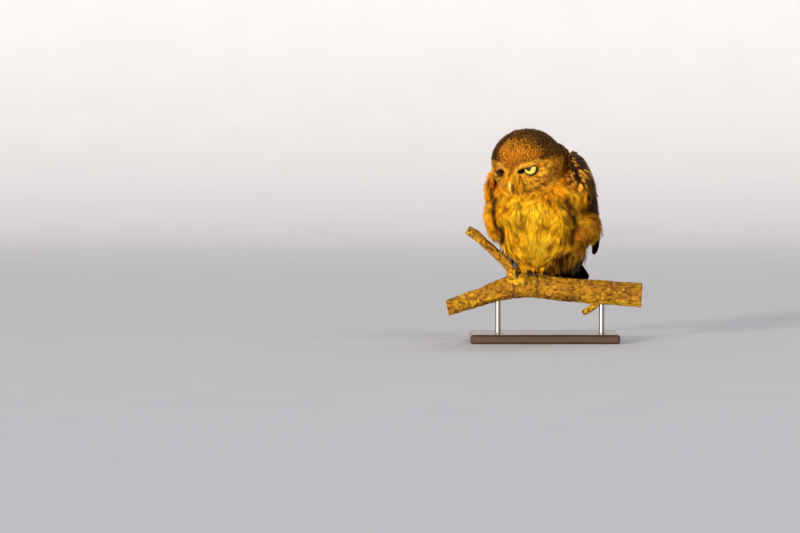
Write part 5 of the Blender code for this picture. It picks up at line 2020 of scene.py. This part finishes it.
@dataclass
class Studio:
    """Floor, backdrop, light and camera."""

    frame_width: int = 800
    pixel_mm: float = 1.08
    anchor_pixel: tuple = (535, 272.5)  # where the top of the branch stands in the frame
    middle_pixel: tuple = (400, 266.5)
    anchor: tuple = (-10, -8, 75)
    elevation: float = math.radians(2)
    distance: float = 6
    sensor: float = 36
    # lamps: name, place, width in degrees, strength, colour
    lamps: tuple = (("key_light", (-1.6, -3, 0.35), 9, 4.9, "#fff0dc"),
                    ("fill_light", (2.5, -3, 2.2), 40, 0.6, "#fff8f0"),
                    ("back_light", (1.2, 3, 3), 30, 1, "#f4f6ff"))
    air: str = "#f2ece0"             # colour of the light from all sides
    air_power: float = 0.4
    # the paper sweep, in metres: width, front and back end of its floor, bend, height
    sweep: tuple = (28, -14, 3, 1.5, 5)
    bend_steps: int = 12

    def camera(self) -> None:
        """A long lens at the branch's height, well to the left of the bird."""
        x = self.anchor[0] + (self.middle_pixel[0] - self.anchor_pixel[0]) * self.pixel_mm
        z = self.anchor[2] + (self.anchor_pixel[1] - self.middle_pixel[1]) * self.pixel_mm
        target = Vector((x, self.anchor[1], z)) * MM
        data = bpy.data.cameras.new("camera")
        data.sensor_width = self.sensor
        data.lens = self.sensor * self.distance / (self.frame_width * self.pixel_mm * MM)
        back = Vector((0, -math.cos(self.elevation), math.sin(self.elevation)))
        bpy.context.scene.camera = self.aimed(data, target + back * self.distance, -back)

    def aimed(self, data: bpy.types.ID, place: Vector, way: Vector) -> Object:
        """Stand a camera or a lamp up so that it looks that way."""
        item = new_object(data.name, data)
        item.location = place
        item.rotation_euler = way.to_track_quat("-Z", "Y").to_euler()
        return item

    def light(self, name: str, place: tuple, size: float, power: float, hue: str) -> None:
        """A large far lamp that lights bird and floor evenly.

        Args:
            name: Its name.
            place: Where it stands; only the direction to the bird counts.
            size: Width that the bird sees it at, in degrees.
            power: Strength.
            hue: Colour.
        """
        data = bpy.data.lights.new(name, "SUN")
        data.angle = math.radians(size)
        data.energy = power
        data.color = tuple(linear(hue))
        self.aimed(data, Vector(place), -Vector(place))

    def build(self) -> None:
        """Put the studio up."""
        self.camera()
        for lamp in self.lamps:
            self.light(*lamp)
        world = bpy.data.worlds.new("studio")
        world.use_nodes = True
        background = world.node_tree.nodes["Background"]
        background.inputs[0].default_value = colour4(self.air)
        background.inputs[1].default_value = self.air_power
        scene = bpy.context.scene
        scene.world = world
        scene.view_settings.view_transform = "Standard"
        self.floor()

    def floor(self) -> None:
        """A pale sweep: a floor that curves up into the backdrop."""
        width, front, back, radius, height = self.sweep
        profile = [(front, 0), (back, 0)]
        for step in range(1, self.bend_steps + 1):
            angle = step / self.bend_steps * math.pi / 2
            profile.append((back + radius * math.sin(angle), radius - radius * math.cos(angle)))
        profile.append((back + radius, height))
        bm = bmesh.new()
        rows = [[bm.verts.new((x, y, z)) for x in (-width / 2, width / 2)] for y, z in profile]
        for near, far in pairwise(rows):
            bm.faces.new((near[0], near[1], far[1], far[0]))
        mesh = freed(bm, "studio_floor")
        mesh.materials.append(StudioPaper().material)
        mesh.shade_smooth()
        new_object("studio_floor", mesh)


# ---- the whole ----

PLUME, BRISTLE, STREAK, SPOT = Form.PLUME, Form.BRISTLE, Mark.STREAK, Mark.SPOT
# every coat: its seed, the lie that it follows and its tufts
COATS = {
    "face": (101, lie_of_coat, Tuft(
        BRISTLE, 4.2, 1.4, 0.85, 1.9, 3, 3, 0.46, wander=0.16, clump=0.12, sink=0.4,
        contrast=0.22)),
    "forehead": (110, lie_of_coat, Tuft(
        PLUME, 4.6, 2.3, 1.35, 2.1, 3, 5, 0.6, wander=0.14, clump=0.1, sink=0.4,
        root_shade=0.45, contrast=0.25, mark=SPOT, strength=1, spot="crown_gold", dim=0.15)),
    "crown": (102, lie_of_coat, Tuft(
        PLUME, 5.6, 2.7, 1.55, 2.3, 3, 5, 0.75, wander=0.12, clump=0.1, sink=0.5,
        root_shade=0.45, contrast=0.25, mark=SPOT, strength=0.8, spot="crown_gold", dim=0.15)),
    "breast": (103, lie_of_coat, Tuft(
        PLUME, 12.5, 5, 2.25, 4.6, 4, 11, 0.56, wander=0.18, clump=0.3, root_shade=0.45,
        contrast=0.2, mark=STREAK, strength=0.4)),
    "belly": (104, lie_of_coat, Tuft(
        PLUME, 17, 4.4, 2.15, 4.4, 4, 9, 0.56, wander=0.08, clump=0.25, hug=0.8, low=0.42,
        root_shade=0.42, contrast=0.2, mark=STREAK, strength=0.45)),
    "flank": (105, lie_of_coat, Tuft(
        PLUME, 13.5, 5.5, 2.4, 4.4, 4, 9, 0.6, wander=0.22, clump=0.35, hug=0.85, curl=0.8,
        root_shade=0.4, contrast=0.2, mark=STREAK, strength=0.4)),
    "vent": (111, lie_of_skirt, Tuft(
        PLUME, 23, 6.5, 2.9, 1.5, 4, 9, 0.7, wander=0.2, clump=0.25, hug=0, root_shade=0.6,
        contrast=0.25)),
    "skirt": (112, lie_of_skirt, Tuft(
        PLUME, 9, 5, 2.1, 0.4, 4, 9, 0.6, wander=0.12, clump=0.2, hug=0, root_shade=0.7,
        contrast=0.2)),
    "underwing": (115, lie_of_tuck, Tuft(
        PLUME, 12, 7.5, 1, 1, 4, 13, 1.1, wander=0.15, clump=0.2, hug=0, root_shade=0.6,
        contrast=0.25)),
    "scapulars": (114, lie_of_coat, Tuft(
        PLUME, 10.5, 7.5, 3.9, 3.6, 4, 15, 0.8, clump=0.06, hug=1, contrast=0.12, mark=SPOT,
        strength=1.6, spot_size=1.4)),
    "shoulder": (116, lie_of_shoulder, Tuft(
        PLUME, 7.5, 6, 2, 0.9, 4, 11, 0.9, wander=0.12, clump=0.06, hug=1, mark=SPOT,
        strength=1.1)),
    "back": (106, lie_of_coat, Tuft(
        PLUME, 11.5, 7.5, 3.2, 3.2, 4, 11, 0.95, clump=0.08, mark=SPOT, strength=0.85)),
    "nape": (113, lie_of_coat, Tuft(
        PLUME, 7.5, 5, 2.1, 1.6, 4, 9, 0.8, wander=0.06, clump=0.04, hug=1, mark=SPOT,
        strength=0.7)),
    "legs": (107, lie_of_coat, Tuft(
        BRISTLE, 8, 3, 1.1, 2.6, 3, 5, 0.6, wander=0.25, hug=0.7, sink=0.3)),
    "toes": (108, lie_of_coat, Tuft(
        BRISTLE, 2.6, 1, 0.9, 0.5, 2, 2, 0.4, wander=0.2, sink=0.2)),
    "whiskers": (109, lie_of_whiskers, Tuft(
        BRISTLE, 11, 2.4, 0.75, 1, 4, 3, 0.36, wander=0.18, hug=0, sink=0.2, root_shade=0.5,
        contrast=0.3)),
}


@dataclass
class Owl:
    """The bird, from the skin outwards."""

    bill_slimming: float = 0.8
    bill_voxel: float = 0.3
    claw_swell: float = 0.35
    claw_voxel: float = 0.16
    # each eye: side, height of the brow, rim, slope of the lid; the right eye's wide black rim is
    # partly painted shade
    eyes: tuple = (("left", 0.1, 1.5, 11.5), ("right", -6.2, 4, 15))

    on_head: tuple = ("face", "forehead", "crown", "whiskers")       # coats of the head

    def __post_init__(self) -> None:
        """Make the feathers' finish and the wings, which several pieces share."""
        self.soft = SoftPlumage()
        self.wings = [Wing("wing_left", 11, sheet=LEFT_SHEET),
                      Wing("wing_right", 12, sheet=RIGHT_SHEET)]

    def build(self) -> None:
        """Build every piece of the bird."""
        skin = Skin(self.wings).build()
        place_piece(skin, BirdSkin(),
                    ["torso", "head", "leg_left", "leg_right", "foot_left", "foot_right"])
        plan = SkinMap(skin)
        self.coats(Surface(skin.data), plan)
        firm, lid, wet = FirmPlumage(), LidSkin(), WetEye()
        for quills in (*self.wings, Tail("tail", 13)):
            quills.build(firm)
        for values in self.eyes:
            eye = Eye(*values)
            eye.ball(wet)
            self.lid_coat(eye, eye.lids(lid), plan)
        self.horns()

    def lid_coat(self, eye: Eye, lids: Object, plan: SkinMap) -> None:
        """Grow the finest feathers on a lid, outside its bare rim.

        Args:
            eye: The eye.
            lids: Its lids as an object.
            plan: The unwrap of the skin.
        """
        surface = Surface(lids.data)
        centre = surface.centres()
        outward = np.sum(surface.face_normals * (centre - eye.centre), axis=1) > 0
        mask = outward & (eye.from_rim(centre) > eye.rim)
        tuft = Tuft(Form.BRISTLE, 2.6, 1, 0.7, 0.9, 3, 3, 0.34, wander=0.15, sink=0.2,
                    root_shade=0.7)
        for item in Coat(f"coat_lids_{eye.name}", tuft, 120, lie_of_coat).grow(
                surface, mask, plan):
            place_piece(item, self.soft)

    def horns(self) -> None:
        """Bill, slim along its ridge and darker on its sides, partly its own grey and partly
        painted shade, and claws.
        """
        bill, claw = Horn(BILL_HORN), Horn(CLAW_HORN)
        for part in ("upper", "lower"):
            item = fine_copy(f"beak_{part}", f"bill_{part}", self.bill_voxel, 5)
            local = POSE.local(read_points(item.data, "co"), "head")
            away = np.abs(local[:, 0]) / (0.6 + 0.12 * np.clip(local[:, 2] + 22, 0, 20))
            local[:, 0] *= self.bill_slimming
            write_points(item.data, POSE.world(local, "head"))
            # the sides go dark grey-brown, partly the bill's own colour and partly painted shade
            dusky = np.full(3, 0.28) * np.array([1, 0.85, 0.6])
            paint(item.data, "tint", blend(np.ones(3), dusky, ramp(0.55, 1.2, away)))
            place_piece(item, bill, [f"beak_{part}"])
        for side in ("left", "right"):
            for number in range(1, 5):
                node = f"claw_{side}_{number}"
                item = fine_copy(node, f"talon_{side}_{number}", self.claw_voxel, 4)
                points, normals = (read_points(item.data, what) for what in ("co", "normal"))
                write_points(item.data, points + normals * (self.claw_swell * MM))
                paint(item.data, "tint", np.ones((len(item.data.vertices), 3)))
                place_piece(item, claw, [node])

    def coats(self, surface: Surface, unwrapped: SkinMap) -> None:
        """Grow the plumage, area by area.

        Args:
            surface: The skin.
            unwrapped: The unwrap of the skin.
        """
        centre = surface.centres()
        x, y, z = POSE.local(centre, "body").T
        head = POSE.local(centre, "head")
        up = centre[:, 2] / MM
        on_head, away = head_share(centre) > 0.5, eye_distance(head)
        face = on_head & (head[:, 1] < -6) & ((away < 23) | (head[:, 2] < -8)) \
            & (head[:, 2] < 13.5)
        forehead = on_head & ~face & (head[:, 1] < -16)
        feet = (up < 84) & ~on_head
        winged = self.wings[0].sheet.covers(centre) | self.wings[1].sheet.covers(centre)
        torso = ~on_head & ~feet & ~winged
        front = torso & (y < 12)
        flank = front & (np.abs(x) > 30) & (z < 84)
        vent = torso & (y > 0) & (z < 34)
        outer = (np.abs(x) > 30) & ((x > 0) | (y > 4))
        shoulder = ~on_head & ~feet & (z > 91) & (outer | winged)
        ridge = shoulder & (z > 115)
        trimmed = (z < 26) & (x > 46)
        nape = torso & (y > -12) & (z > 98) & ~shoulder
        front = front & ~shoulder & ~nape
        belly = torso & (y < 12) & ~flank & (z < 66) & ~vent
        bill = np.linalg.norm((head - BILL_MIDDLE) / BILL_REACH, axis=1) < 1
        masks = {
            "face": face & (away > 8.4), "forehead": forehead,
            "crown": on_head & ~face & ~forehead, "breast": front & ~flank & ~belly & ~vent,
            "belly": belly, "flank": flank & ~vent & ~trimmed, "vent": vent,
            "skirt": torso & (z < 16) & (y < 0) & (y > -8) & (x > -14) & (x < 24),
            "underwing": trimmed & torso & (z > 12) & (y > -6), "scapulars": shoulder & ~ridge,
            "shoulder": ridge, "back": torso & ~front & ~vent & ~nape & ~shoulder, "nape": nape,
            "legs": feet & (up > 78.5), "toes": feet & (up < 78.5) & (up > 74),
            "whiskers": on_head & bill}
        for name, (seed, lie, tuft) in COATS.items():
            for item in Coat(f"coat_{name}", tuft, seed, lie).grow(
                    surface, masks[name], unwrapped):
                place_piece(item, self.soft)


def stand() -> None:
    """Dress the display stand's own solids."""
    oak, steel = StainedOak(), BrushedSteel()
    for node, finish in (("stand_base", oak), ("stand_rod_left", steel),
                         ("stand_rod_right", steel)):
        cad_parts[node].data.materials[0] = finish.material
        log.info("%s: dressed", node)


def main() -> None:
    """Build the studio and the model."""
    logging.basicConfig(level=logging.INFO, format="%(message)s")
    Studio().build()
    stand()
    Perch().build(Bark())
    Owl().build()
    bpy.context.view_layer.update()


if __name__ == "__main__":
    main()
